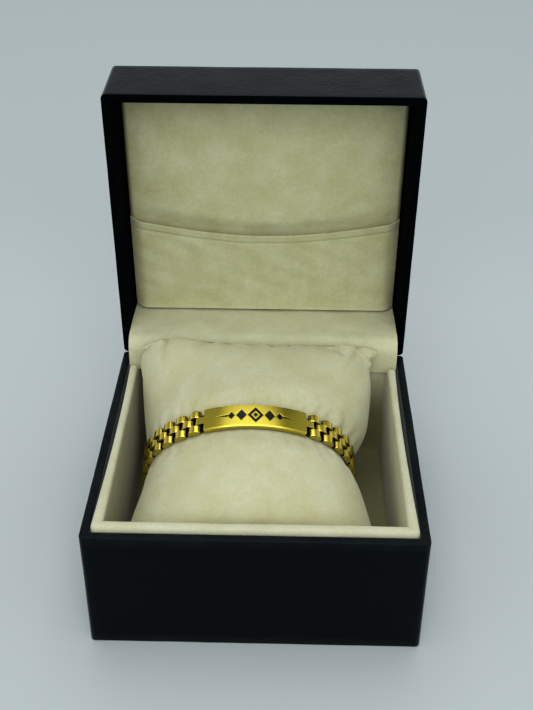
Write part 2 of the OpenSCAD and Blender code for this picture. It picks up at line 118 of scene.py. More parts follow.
@dataclass
class Skin:
    """Closed surface: its points, its four-sided faces and its three-sided ones."""

    points: np.ndarray
    quads: np.ndarray
    triangles: np.ndarray

    @staticmethod
    def tube(grid: np.ndarray) -> "Skin":
        """Skin of a grid of rings, closed at each end on the middle of the last ring.

        Args:
            grid: Points in rings, shaped rings by columns by 3.

        Returns:
            The closed skin.
        """
        rows, cols, _ = grid.shape
        poles = np.stack([grid[0].mean(0), grid[-1].mean(0)])
        near = np.arange(cols)
        after = (near + 1) % cols
        first = rows * cols
        last = (rows - 1) * cols
        fans = np.concatenate([
            np.stack([np.full(cols, first), after, near], axis=-1),
            np.stack([np.full(cols, first + 1), last + near, last + after], axis=-1)])
        points = np.concatenate([grid.reshape(-1, 3), poles])
        return Skin(points, grid_quads(rows, cols, True), fans)

    @staticmethod
    def slab(front: np.ndarray, back: np.ndarray) -> "Skin":
        """Skin of a slab between two grids of the same shape, closed along their four edges.

        Args:
            front: Points of one face, shaped rows by columns by 3.
            back: Points of the other face.

        Returns:
            The closed skin.
        """
        rows, cols, _ = front.shape
        face = grid_quads(rows, cols, False)
        number = np.arange(rows * cols).reshape(rows, cols)
        edge = np.concatenate([number[0, :-1], number[:-1, -1],
                               number[-1, :0:-1], number[:0:-1, 0]])
        after = np.roll(edge, -1)
        count = rows * cols
        rim = np.stack([edge, edge + count, after + count, after], axis=-1)
        return Skin(np.concatenate([front.reshape(-1, 3), back.reshape(-1, 3)]),
                    np.concatenate([face, face[:, ::-1] + count, rim]), np.empty((0, 3), int))

    @staticmethod
    def many(shape: "Skin", places: np.ndarray) -> "Skin":
        """Copies of a skin that were moved to several places.

        Args:
            shape: The skin that is repeated, for its faces.
            places: Points of each copy, shaped copies by points by 3.

        Returns:
            One skin that holds all the copies.
        """
        copies, count, _ = places.shape
        shift = (np.arange(copies) * count)[:, None, None]
        return Skin(places.reshape(-1, 3), (shape.quads[None] + shift).reshape(-1, 4),
                    (shape.triangles[None] + shift).reshape(-1, 3))

    @staticmethod
    def joined(skins: list["Skin"]) -> "Skin":
        """Several skins as one, with their corner numbers moved up one after another."""
        starts = np.cumsum([0] + [len(s.points) for s in skins[:-1]])
        return Skin(np.concatenate([s.points for s in skins]),
                    np.concatenate([s.quads + n for s, n in zip(skins, starts)]),
                    np.concatenate([s.triangles + n for s, n in zip(skins, starts)]))

    def outward(self) -> "Skin":
        """The same skin with its faces turned outwards, where its signed volume is below zero."""
        fans = np.concatenate([self.quads[:, [0, 1, 2]], self.quads[:, [0, 2, 3]], self.triangles])
        a, b, c = (self.points[fans[:, k]] for k in range(3))
        if np.einsum("ij,ij->i", a, np.cross(b, c)).sum() >= 0:
            return self
        return Skin(self.points, self.quads[:, ::-1].copy(), self.triangles[:, ::-1].copy())

    def piece(self, name: str, smooth_angle: float = 180.0) -> Piece:
        """Puts the skin into a new object at the origin.

        Args:
            name: Name of the object.
            smooth_angle: Edges that turn by more degrees than this are kept sharp.

        Returns:
            The object, linked to the scene.
        """
        skin = self.outward()
        sizes = np.concatenate([np.full(len(skin.quads), 4), np.full(len(skin.triangles), 3)])
        corners = np.concatenate([skin.quads.ravel(), skin.triangles.ravel()])
        mesh = bpy.data.meshes.new(name)
        mesh.vertices.add(len(skin.points))
        mesh.vertices.foreach_set("co", skin.points.astype(np.float32).ravel())
        mesh.loops.add(len(corners))
        mesh.loops.foreach_set("vertex_index", corners.astype(np.int32))
        mesh.polygons.add(len(sizes))
        starts = np.concatenate([[0], np.cumsum(sizes)[:-1]])
        mesh.polygons.foreach_set("loop_start", starts.astype(np.int32))
        mesh.update(calc_edges=True)
        mesh.shade_smooth()
        if smooth_angle < 180.0:
            mesh.set_sharp_from_angle(angle=np.radians(smooth_angle))
        return link_object(name, mesh)


def paint_values(piece: Piece, name: str, values: np.ndarray) -> None:
    """Keeps one number for each point of a piece's mesh, for its material to read.

    Args:
        piece: The piece.
        name: Name of the attribute.
        values: One number for each point.
    """
    layer = piece.data.attributes.new(name, "FLOAT", "POINT")
    layer.data.foreach_set("value", np.asarray(values, np.float32).ravel())


def round_off(edge: np.ndarray, radius: float) -> np.ndarray:
    """Drop of a quarter circle, from its radius at an edge to nothing one radius away."""
    return radius * (1 - np.sqrt(1 - (1 - np.clip(edge / radius, 0, 1)) ** 2))


def with_ends(values: np.ndarray, at_ends: float = 0.0) -> np.ndarray:
    """Numbers of a tube's grid, row by row, and then those of its two end points."""
    return np.append(values.ravel(), [at_ends, at_ends])


def soft_ripples(points: np.ndarray, size: float, seed: int, waves: int = 9) -> np.ndarray:
    """Smooth bumps of about -1 to 1: the sum of sine waves in seeded directions and phases.

    Args:
        points: Places to work them out at, with X, Y and Z last.
        size: Middle length of the waves.
        seed: Seed of the directions, lengths and phases.
        waves: Number of waves.

    Returns:
        One number for each point.
    """
    rng = np.random.default_rng(seed)
    ways = rng.normal(size=(waves, 3))
    ways /= np.linalg.norm(ways, axis=1, keepdims=True)
    lengths = size * rng.uniform(0.7, 1.6, waves)
    phases = rng.uniform(0, 2 * np.pi, waves)
    turns = points @ (ways / lengths[:, None]).T * 2 * np.pi + phases
    return np.sin(turns).sum(-1) / np.sqrt(waves)


def smooth_step(value: np.ndarray, low: float, high: float) -> np.ndarray:
    """Share that eases from 0 at low to 1 at high, as 3t^2 - 2t^3."""
    t = np.clip((value - low) / (high - low), 0, 1)
    return t * t * (3 - 2 * t)


def bell(distance: np.ndarray, width: float) -> np.ndarray:
    """Bell curve, 1 at no distance and 1/e at the width."""
    return np.exp(-((distance / width) ** 2))


def quarter(steps: int) -> np.ndarray:
    """Turns from 0 to a right angle in equal steps, both ends included."""
    return np.linspace(0, np.pi / 2, steps + 1)


def curve_through(value: np.ndarray, places: np.ndarray, heights: np.ndarray) -> np.ndarray:
    """Cubic curve through the rows of a table, with slopes from each row's two neighbours.

    Args:
        value: Places to work it out at.
        places: Rising places of the table's rows.
        heights: Value of each row.

    Returns:
        The height at each value.
    """
    slopes = np.gradient(heights, places)
    k = np.clip(np.searchsorted(places, value) - 1, 0, len(places) - 2)
    span = places[k + 1] - places[k]
    t = np.clip((value - places[k]) / span, 0, 1)
    return ((2 * t**3 - 3 * t**2 + 1) * heights[k] + (t**3 - 2 * t**2 + t) * span * slopes[k]
            + (3 * t**2 - 2 * t**3) * heights[k + 1] + (t**3 - t**2) * span * slopes[k + 1])


# Finishes


def is_socket(value: object) -> bool:
    """Whether a value is a node's socket and not a number or a colour."""
    return isinstance(value, Socket)


class NodeTree:
    """A new material and short calls that add and join its nodes."""

    def __init__(self, name: str) -> None:
        """Starts a material that holds one Principled shader."""
        self.material = bpy.data.materials.new(name)
        self.material.use_nodes = True
        self.tree = self.material.node_tree
        self.shader = self.tree.nodes["Principled BSDF"]

    def add(self, kind: str, links: dict[str | int, object] | None = None,
            values: dict[str | int, object] | None = None, **settings: object) -> bpy.types.Node:
        """Adds a node.

        Args:
            kind: Type of the node.
            links: Output sockets that feed its inputs, by the input's name or number.
            values: Numbers and colours set on its inputs.
            **settings: Properties set on the node.

        Returns:
            The node.
        """
        made = self.tree.nodes.new(kind)
        for key, value in settings.items():
            setattr(made, key, value)
        for key, value in (values or {}).items():
            made.inputs[key].default_value = value
        for key, socket in (links or {}).items():
            self.tree.links.new(socket, made.inputs[key])
        return made

    def shade(self, **values: object) -> None:
        """Sets numbers and colours on the shader's own sockets, with _ for a space."""
        for key, value in values.items():
            self.shader.inputs[key.replace("_", " ")].default_value = value

    def feed(self, name: str, socket: Socket) -> None:
        """Joins an output socket to an input of the shader."""
        self.tree.links.new(socket, self.shader.inputs[name])

    def join_or_set(self, target: Socket, value: object) -> None:
        """Joins an output socket to an input, or sets a plain value on it."""
        if is_socket(value):
            self.tree.links.new(value, target)
        else:
            target.default_value = value

    def coordinates(self, stretch: Point = (1.0, 1.0, 1.0)) -> Socket:
        """Object coordinates in metres, each axis multiplied by its stretch."""
        source = self.add("ShaderNodeTexCoord").outputs["Object"]
        return self.add("ShaderNodeMapping", {"Vector": source}, {"Scale": stretch}).outputs[0]

    def noise(self, place: Socket, size: float, detail: float = 2.0,
              roughness: float = 0.5) -> Socket:
        """Noise from 0 to 1 with features of about a given size in metres."""
        values = {"Scale": 1.0 / size, "Detail": detail, "Roughness": roughness}
        return self.add("ShaderNodeTexNoise", {"Vector": place}, values).outputs[0]

    def ramp(self, source: Socket, low: float, high: float,
             start: float, end: float) -> Socket:
        """Carries the range low to high over to start to end, and clamps it."""
        values = {1: low, 2: high, 3: start, 4: end}
        return self.add("ShaderNodeMapRange", {0: source}, values).outputs[0]

    def mix(self, share: Socket, low: object, high: object) -> Socket:
        """Mixes two colours, or two colour sockets, by a share."""
        made = self.add("ShaderNodeMix", {0: share}, data_type="RGBA")
        for key, colour in ((6, low), (7, high)):
            self.join_or_set(made.inputs[key], colour if is_socket(colour) else (*colour, 1.0))
        return made.outputs[2]

    def attribute(self, name: str) -> Socket:
        """Number kept on the points of the mesh under a name."""
        return self.add("ShaderNodeAttribute", attribute_name=name).outputs["Fac"]

    def math(self, how: str, a: object, b: object) -> Socket:
        """Sum, product or other operation of two sockets or numbers."""
        made = self.add("ShaderNodeMath", operation=how)
        self.join_or_set(made.inputs[0], a)
        self.join_or_set(made.inputs[1], b)
        return made.outputs[0]

    def bump(self, height: Socket, distance: float, strength: float = 1.0,
             under: Socket | None = None) -> Socket:
        """Bump of a height from 0 to 1 over a distance in metres, on top of another one."""
        links = {"Height": height}
        if under is not None:
            links["Normal"] = under
        values = {"Distance": distance, "Strength": strength}
        return self.add("ShaderNodeBump", links, values).outputs[0]


@dataclass(frozen=True)
class Leatherette:
    """Dark covering of the boards, with a fine grain that runs along the sides."""

    name: str
    specular: float
    sheen: float
    colour: Colour = (0.0010, 0.0018, 0.0032)
    rubbed: Colour = (0.010, 0.014, 0.017)
    roughness: tuple[float, float] = (0.30, 0.44)
    grain_size: float = 0.55 * MM
    grain_depth: float = 0.09 * MM

    def material(self) -> Material:
        """Builds the material: grain from stretched cells, rubbed along the edges.

        Returns:
            The material.
        """
        nodes = NodeTree(self.name)
        place = nodes.coordinates()
        along = nodes.coordinates((0.42, 0.42, 1.0))
        cells = nodes.add("ShaderNodeTexVoronoi", {"Vector": along},
                          {"Scale": 1.0 / self.grain_size, "Randomness": 1.0},
                          feature="SMOOTH_F1").outputs["Distance"]
        fine = nodes.noise(along, 0.3 * MM, 3.0, 0.6)
        patches = nodes.noise(place, 9 * MM, 3.0, 0.55)
        grain = nodes.math("ADD", nodes.ramp(cells, 0.0, 0.8, 0.0, 0.7),
                           nodes.ramp(fine, 0.2, 0.8, 0.0, 0.35))
        edges = nodes.math("MULTIPLY", nodes.attribute("edge"),
                           nodes.ramp(patches, 0.3, 0.65, 0.25, 1.0))
        rubbed = nodes.math("MULTIPLY", edges, nodes.ramp(fine, 0.3, 0.7, 0.5, 1.0))
        nodes.feed("Base Color", nodes.mix(rubbed, self.colour, self.rubbed))
        nodes.feed("Roughness", nodes.ramp(patches, 0.3, 0.7, *self.roughness))
        nodes.feed("Normal", nodes.bump(grain, self.grain_depth, 0.8))
        nodes.shade(Specular_IOR_Level=self.specular, Specular_Tint=(0.82, 0.97, 1.0, 1.0),
                    Sheen_Weight=self.sheen, Sheen_Roughness=0.3,
                    Sheen_Tint=(0.85, 0.98, 1.0, 1.0))
        return nodes.material


@dataclass(frozen=True)
class Velvet:
    """Short-piled cream velvet, whose nap lies light or dark in soft patches."""

    name: str
    colour: Colour
    brushed: Colour
    # Colour of the painted shade, which also darkens flecks of the pile at random
    crease: Colour
    # Colour of the painted shadow under the bracelet's band
    pressed: Colour = (0.012, 0.010, 0.004)
    nap_size: float = 11 * MM
    pile_size: float = 0.28 * MM
    sheen: float = 0.32

    def material(self) -> Material:
        """Builds the material: patches of nap, fine pile and a soft sheen at grazing angles.

        Returns:
            The material.
        """
        nodes = NodeTree(self.name)
        place = nodes.coordinates()
        nap = nodes.noise(place, self.nap_size, 3.0, 0.55)
        tufts = nodes.noise(place, 1.6 * MM, 3.0, 0.6)
        pile = nodes.noise(place, self.pile_size, 2.0, 0.7)
        share = nodes.math("ADD", nodes.ramp(nap, 0.32, 0.68, 0.0, 0.62),
                           nodes.ramp(tufts, 0.3, 0.7, 0.0, 0.38))
        cloth = nodes.mix(share, self.brushed, self.colour)
        speckled = nodes.mix(nodes.ramp(pile, 0.25, 0.6, 0.30, 0.0), cloth, self.crease)
        # Painted shade: the cloth darkens towards the shade colour where the attribute is set
        deep = nodes.math("MULTIPLY", nodes.attribute("crease"), 0.85)
        shaded_cloth = nodes.mix(deep, speckled, self.crease)
        # Painted shadow under the bracelet's band, nearly black
        nodes.feed("Base Color", nodes.mix(nodes.attribute("pressed"), shaded_cloth, self.pressed))
        rough = nodes.bump(nap, 0.5 * MM, 0.35)
        tufted = nodes.bump(tufts, 0.20 * MM, 0.5, rough)
        nodes.feed("Normal", nodes.bump(pile, 0.12 * MM, 0.8, tufted))
        nodes.feed("Roughness", nodes.ramp(pile, 0.2, 0.8, 0.82, 1.0))
        nodes.shade(Specular_IOR_Level=0.12, Sheen_Weight=self.sheen, Sheen_Roughness=0.45,
                    Sheen_Tint=(1.0, 0.98, 0.86, 1.0))
        return nodes.material


@dataclass(frozen=True)
class Gold:
    """Polished yellow gold, dull in the gaps and painted dark there as shade."""

    name: str
    roughness: tuple[float, float]
    colour: Colour = (0.83, 0.67, 0.075)
    deep: Colour = (0.76, 0.58, 0.04)
    # Black of the engraving's filling, also the colour of the painted shade
    ink: Colour = (0.003, 0.002, 0.002)
    coat: float = 0.0

    def material(self) -> Material:
        """Builds the material: gold, fine wear, painted shade in the recesses and the filled
        engraving.

        Returns:
            The material.
        """
        nodes = NodeTree(self.name)
        place = nodes.coordinates()
        clouds = nodes.noise(place, 4 * MM, 3.0, 0.5)
        hair = nodes.noise(nodes.coordinates((1.0, 6.0, 6.0)), 1.2 * MM, 4.0, 0.7)
        # Painted shade in the chain's gaps and on the bar's sides, and the engraving's black
        # filling
        dark = nodes.math("MAXIMUM", nodes.attribute("recess"), nodes.attribute("ink"))
        metal = nodes.mix(nodes.ramp(clouds, 0.3, 0.7, 0.0, 0.5), self.colour, self.deep)
        nodes.feed("Base Color", nodes.mix(dark, metal, self.ink))
        polish = nodes.ramp(hair, 0.3, 0.75, *self.roughness)
        nodes.feed("Roughness", nodes.math("MAXIMUM", polish, nodes.math("MULTIPLY", dark, 0.55)))
        nodes.feed("Metallic", nodes.ramp(dark, 0.0, 1.0, 1.0, 0.15))
        nodes.shade(Specular_IOR_Level=0.05, Coat_Weight=self.coat,
                    Coat_Roughness=self.roughness[0])
        return nodes.material


@dataclass(frozen=True)
class Brass:
    """Plain rolled brass of the hinge, lightly tarnished."""

    name: str = "hinge_brass"
    bright: Colour = (0.55, 0.38, 0.13)
    tarnish: Colour = (0.24, 0.15, 0.05)

    def material(self) -> Material:
        """Builds the material: rolling marks along the hinge and patches of tarnish.

        Returns:
            The material.
        """
        nodes = NodeTree(self.name)
        place = nodes.coordinates()
        patches = nodes.noise(place, 2.5 * MM, 4.0, 0.6)
        marks = nodes.noise(nodes.coordinates((0.1, 1.0, 1.0)), 0.15 * MM, 2.0, 0.6)
        nodes.feed("Base Color", nodes.mix(nodes.ramp(patches, 0.35, 0.7, 0.0, 0.8), self.bright,
                                           self.tarnish))
        nodes.feed("Roughness", nodes.ramp(patches, 0.3, 0.7, 0.24, 0.5))
        nodes.feed("Normal", nodes.bump(marks, 0.01 * MM, 0.6))
        nodes.shade(Metallic=1.0)
        return nodes.material


COVERING = Leatherette("dark_leatherette", 0.10, 0.32)
BOARD_INSIDE = Leatherette("board_inside", 0.02, 0.0, rubbed=(0.002, 0.003, 0.004),
                           roughness=(0.9, 1.0))
# Copies of one cream velvet, made lighter or darker to paint in the light on each place: the flap
# and the collar lighter, the lid's pad and pocket darker
LID_VELVET = Velvet("lid_velvet", (0.66, 0.66, 0.45), (0.53, 0.52, 0.28), (0.27, 0.25, 0.08))
FLAP_VELVET = Velvet("flap_velvet", (0.75, 0.76, 0.55), (0.63, 0.63, 0.40), (0.27, 0.25, 0.08))
COLLAR_VELVET = Velvet("collar_velvet", (0.71, 0.72, 0.55), (0.60, 0.60, 0.40),
                       (0.17, 0.16, 0.045))
CUSHION_VELVET = Velvet("cushion_velvet", (0.67, 0.68, 0.50), (0.58, 0.56, 0.33),
                        (0.31, 0.29, 0.11))
LINK_GOLD = Gold("polished_gold", (0.13, 0.18), coat=1.0)
PLATE_GOLD = Gold("satin_gold", (0.23, 0.25), (0.75, 0.63, 0.07), (0.71, 0.57, 0.04), coat=0.6)


def dress(piece: Piece, material: Material, slot: Slot, node: str,
          body: str | None) -> None:
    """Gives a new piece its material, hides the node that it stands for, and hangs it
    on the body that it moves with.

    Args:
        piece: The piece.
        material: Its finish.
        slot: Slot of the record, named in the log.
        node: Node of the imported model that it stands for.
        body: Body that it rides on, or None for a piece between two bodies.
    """
    piece.data.materials.append(material)
    if body is not None:
        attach(piece, body)
    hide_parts(node)
    triangles = sum(len(p.vertices) - 2 for p in piece.data.polygons)
    log.info("%s: %d triangles, %s", piece.name, triangles, slot.value)


# The box


@dataclass(frozen=True)
class Hinge:
    """Hinge line of the lid, and the angle at which the lid stands open at rest."""

    line_y: float
    line_z: float
    opened: float

    @staticmethod
    def from_frame() -> "Hinge":
        """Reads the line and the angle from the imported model's only joint."""
        joint = frame["joints"][0]
        return Hinge(joint["pos_m"][1], joint["pos_m"][2], np.radians(joint["range_deg"][1]))

    def on_lid(self, points: np.ndarray) -> np.ndarray:
        """Turns points of the closed lid, drawn about the hinge line, to the open lid's place.

        Args:
            points: Points with X, Y and Z last; Y is below 0 towards the front.

        Returns:
            The points at rest.
        """
        cos, sin = np.cos(self.opened), np.sin(self.opened)
        x, y, z = np.moveaxis(points, -1, 0)
        return np.stack([x, self.line_y + y * cos + z * sin, self.line_z - y * sin + z * cos], -1)


@dataclass(frozen=True)
class BoxOutline:
    """Rounded rectangle, as columns that a profile is carried round on.

    Columns nearer to a side's middle than straight stay in line all the way in; those beyond it
    are drawn together as the outline shrinks.
    """

    width: float
    depth: float
    radius: float
    spacing: float = 2.2 * MM
    corner_steps: int = 7
    least_radius: float = 0.12 * MM
    straight: float = 30 * MM

    def columns(self, stops: tuple[float, ...] = (), stop_side: int = 1) -> np.ndarray:
        """Columns round the outline, anticlockwise from the right side's near end.

        Args:
            stops: Places along one side that each get a double column.
            stop_side: 1 for the back, 3 for the front.

        Returns:
            Rows of side number, place along the side, angle of the outward normal, and 1 at a
            corner.
        """
        found = []
        for side in range(4):
            reach = (self.depth if side % 2 == 0 else self.width) / 2 - self.radius
            count = int(round(2 * reach / self.spacing))
            places = np.linspace(-reach, reach, count + 1)
            if side == stop_side:
                far = [p for p in places if all(abs(p - s) > self.spacing / 3 for s in stops)]
                places = np.sort(np.concatenate([far, stops, stops]))
            normal = side * np.pi / 2
            turns = quarter(self.corner_steps)[1:-1]
            for row in ((side, places, normal, 0.0), (side, reach, normal + turns, 1.0)):
                found.append(np.column_stack(np.broadcast_arrays(*row)))
        return np.concatenate(found)

    def carry(self, columns: np.ndarray, inset: np.ndarray, height: np.ndarray) -> np.ndarray:
        """Places the points of a profile in each column.

        A point of a straight side lies on the side's tangent, moved in by the inset; a point of
        a corner lies round the corner's centre, whose radius shrinks with the inset.

        Args:
            columns: What columns() gives.
            inset: Distance in from the outline, rows by columns.
            height: Height of each point, rows by columns.

        Returns:
            Points shaped rows by columns by 3.
        """
        side, place, normal, corner = columns.T
        radius = np.maximum(self.radius - inset, self.least_radius)
        half = np.where(side % 2 == 0, self.width, self.depth) / 2
        other = np.where(side % 2 == 0, self.depth, self.width) / 2
        reach = other - inset - radius
        full = other - self.radius
        far, straight = np.abs(place), self.straight
        outer = straight + (far - straight) * (reach - straight) / (full - straight)
        kept = np.where(far < straight, far, outer)
        along = np.sign(place) * np.where(reach > straight * 1.1, kept, far * reach / full)
        ahead = side * np.pi / 2
        flat_x = np.cos(ahead) * (half - inset) - np.sin(ahead) * along
        flat_y = np.sin(ahead) * (half - inset) + np.cos(ahead) * along
        centre = half - inset - radius
        bend_x = np.cos(ahead) * centre - np.sin(ahead) * reach + radius * np.cos(normal)
        bend_y = np.sin(ahead) * centre + np.cos(ahead) * reach + radius * np.sin(normal)
        x = np.where(corner > 0, bend_x, flat_x)
        y = np.where(corner > 0, bend_y, flat_y)
        return np.stack([x, y, np.broadcast_to(height, x.shape)], axis=-1)


@dataclass
class GiftBox:
    """Base and lid: boards covered with leatherette, with soft edges and room for the hinge."""

    hinge: Hinge
    board: float = 2.8 * MM
    corner_radius: float = 1.6 * MM
    rim_gap: float = 0.3 * MM
    lid_height: float = 25.8 * MM
    fold_radius: float = 0.45 * MM
    rim_radius: float = 0.35 * MM
    meeting_radius: float = 0.06 * MM
    meeting_gap: float = 0.04 * MM
    hinge_length: float = 50 * MM
    hinge_gap: float = 0.3 * MM
    knuckle_radius: float = 1.25 * MM
    leaf: float = 0.6 * MM
    leaf_seat: float = 0.5 * MM
    fold_steps: int = 5
    wall_steps: int = 12
    inner_steps: int = 5
    slack: float = 0.05 * MM
    slack_wave: float = 22 * MM
    worn_corner: float = 1.3 * MM
    outer_face: float = 0.2 * MM
    sharp: float = 42.0

    # Inset, height and closeness to an edge, from the middle of the underside outwards
    UNDERSIDE = np.array([[44, 0, 0], [24, 0, 0], [6, 0, 0], [2, 0, 0.15]]) * [MM, 1, 1]
    # Distance from the inner wall and height above the board, towards the floor's middle
    FLOOR = np.array([[0, 0], [1.2, 0], [20, 0], [43, 0]]) * MM

    def __post_init__(self) -> None:
        """Reads the box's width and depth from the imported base, and counts the profile's rows."""
        low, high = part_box("base_shell")
        self.outline = BoxOutline(high.x - low.x, high.y - low.y, self.corner_radius)
        self.stop = self.hinge_length / 2 + self.hinge_gap
        arc = self.fold_steps + 1
        self.rim_row = len(self.UNDERSIDE) + arc + self.wall_steps - 1
        self.inside_row = self.rim_row + 2 * arc

    def profile(self, height: float, notched: bool, rim: float) -> np.ndarray:
        """Profile of a tray from the middle of its underside to the middle of its floor.

        Its outer fold and the two edges of its rim are quarter circles. Under the hinge the rim
        lies one leaf lower, and a hollow quarter circle clears the knuckles.

        Args:
            height: Height of the rim.
            notched: Whether the column passes the hinge.
            rim: Radius of the rim's edges.

        Returns:
            Rows of inset, height and closeness to an edge from 0 to 1.
        """
        fold, turn, board = self.fold_radius, quarter(self.fold_steps), self.board
        sin, cos = np.sin(turn), np.cos(turn)
        under = np.column_stack([fold - fold * sin, fold - fold * cos])
        if notched:
            line = height + self.rim_gap / 2
            clear = self.knuckle_radius + self.hinge_gap
            swing = np.linspace(0, np.arccos((self.rim_gap / 2 + self.leaf) / clear), len(turn))
            outer = np.column_stack([clear * np.sin(swing), line - clear * np.cos(swing)])
            seat = height - self.leaf - np.linspace(0, self.leaf_seat, len(turn))
            inner = np.column_stack([0 * seat + board, seat])
            crest = line - clear
        else:
            outer = np.column_stack([rim - rim * cos, height - rim + rim * sin])
            inner = np.column_stack([board - rim + rim * sin, height - rim + rim * cos])
            crest = height - rim
        rise = np.linspace(fold, crest, self.wall_steps + 1)[1:-1]
        fall = np.linspace(inner[-1, 1], board, self.inner_steps + 1)[1:-1]
        outer_wall = np.column_stack([0 * rise, rise])
        inner_wall = np.column_stack([0 * fall + board, fall])
        parts = [(under, 1), (outer_wall, 0), (outer, 1), (inner, 1), (inner_wall, 0),
                 (self.FLOOR + board, 0)]
        rows = [np.column_stack([part, np.full(len(part), edge)]) for part, edge in parts]
        return np.concatenate([self.UNDERSIDE, *rows])

    def tray(self, height: float, stop_side: int) -> tuple[np.ndarray, np.ndarray]:
        """Carries the profile round the outline.

        The covering is slack: soft ripples draw its outer faces in a little. Along the hinge
        side the rims nearly meet, and between the stops they are cut for the hinge.

        Args:
            height: Height of the rim.
            stop_side: Side of the outline with the hinge: 1 for the back, 3 for the front.

        Returns:
            Points shaped rows by columns by 3, and each point's closeness to an edge.
        """
        columns = self.outline.columns((-self.stop, self.stop), stop_side)
        side, place, _, bent = columns.T
        plain = self.profile(height, False, self.rim_radius)
        cut = self.profile(height, True, self.rim_radius)
        met = height + self.rim_gap / 2 - self.meeting_gap
        sharp = self.profile(met, False, self.meeting_radius)
        on_side = (side == stop_side) & (bent == 0)
        meets = (side == stop_side) | ((side == stop_side - 1) & (bent > 0))
        inside = on_side & (np.abs(place) < self.stop + 1e-6)
        ends = np.flatnonzero(on_side & np.isclose(np.abs(place), self.stop))
        inside[[ends[0], ends[-1]]] = False
        whole = np.where(meets[None, :, None], sharp[:, None], plain[:, None])
        chosen = np.where(inside[None, :, None], cut[:, None], whole)
        grid = self.outline.carry(columns, chosen[..., 0], chosen[..., 1])
        corner = bell(self.corner_distance(grid), self.worn_corner)
        outside = chosen[..., 0] < self.outer_face
        edge = np.maximum(chosen[..., 2], np.where(outside, corner, 0))
        push = soft_ripples(grid, self.slack_wave, 5) * self.slack * outside
        away = grid - grid.mean((0, 1))
        away[..., 2] = 0
        away /= np.maximum(np.linalg.norm(away, axis=-1, keepdims=True), 1e-9)
        return grid - away * np.abs(push)[..., None], edge

    def corner_distance(self, grid: np.ndarray) -> np.ndarray:
        """Distance of each point from the nearest upright corner of the box."""
        x = self.outline.width / 2 - np.abs(grid[..., 0])
        y = self.outline.depth / 2 - np.abs(grid[..., 1])
        return np.hypot(x, y)

    def cover(self, name: str, grid: np.ndarray, edge: np.ndarray, outside: Material,
              inside: Material, first_row: int, node: str, body: str) -> None:
        """Makes one covered tray.

        Args:
            name: Name of the piece.
            grid: Points in place.
            edge: Closeness of each point to an edge.
            outside: Finish of its outside.
            inside: Duller finish of the boards' inner faces.
            first_row: Row of the grid from which the inside's finish is used.
            node: Node that it stands for.
            body: Body that it rides on.
        """
        piece = Skin.tube(grid).piece(name, self.sharp)
        paint_values(piece, "edge", with_ends(edge))
        dress(piece, outside, Slot.LEATHERETTE, node, body)
        piece.data.materials.append(inside)
        rows, cols, _ = grid.shape
        number = np.arange(len(piece.data.polygons))
        underside_fan = (number >= (rows - 1) * cols) & (number < rows * cols)
        chosen = (number >= first_row * cols) & ~underside_fan
        piece.data.polygons.foreach_set("material_index", chosen.astype(np.int32))

    def build(self, outside: Material, inside: Material,
              brass: Material) -> None:
        """Makes the base and the lid, and finishes the hinge.

        Args:
            outside: Finish of the covering.
            inside: Duller finish of the boards' inner faces.
            brass: Finish of the hinge.
        """
        grid, edge = self.tray(self.hinge.line_z - self.rim_gap / 2, 1)
        self.cover("base_covering", grid, edge, outside, inside, self.inside_row, "base_shell",
                   "root")
        grid, edge = self.tray(self.lid_height - self.rim_gap / 2, 3)
        x, y, z = np.moveaxis(grid, -1, 0)
        turned = np.stack([x, -y - self.outline.depth / 2, self.lid_height - z], axis=-1)
        self.cover("lid_covering", self.hinge.on_lid(turned), edge, outside, inside, self.rim_row,
                   "lid_shell", "lid")
        for hinge_node in ("hinge_base_leaf", "hinge_pin", "hinge_lid_leaf"):
            for place in frame["nodes"][hinge_node].material_slots:
                place.material = brass


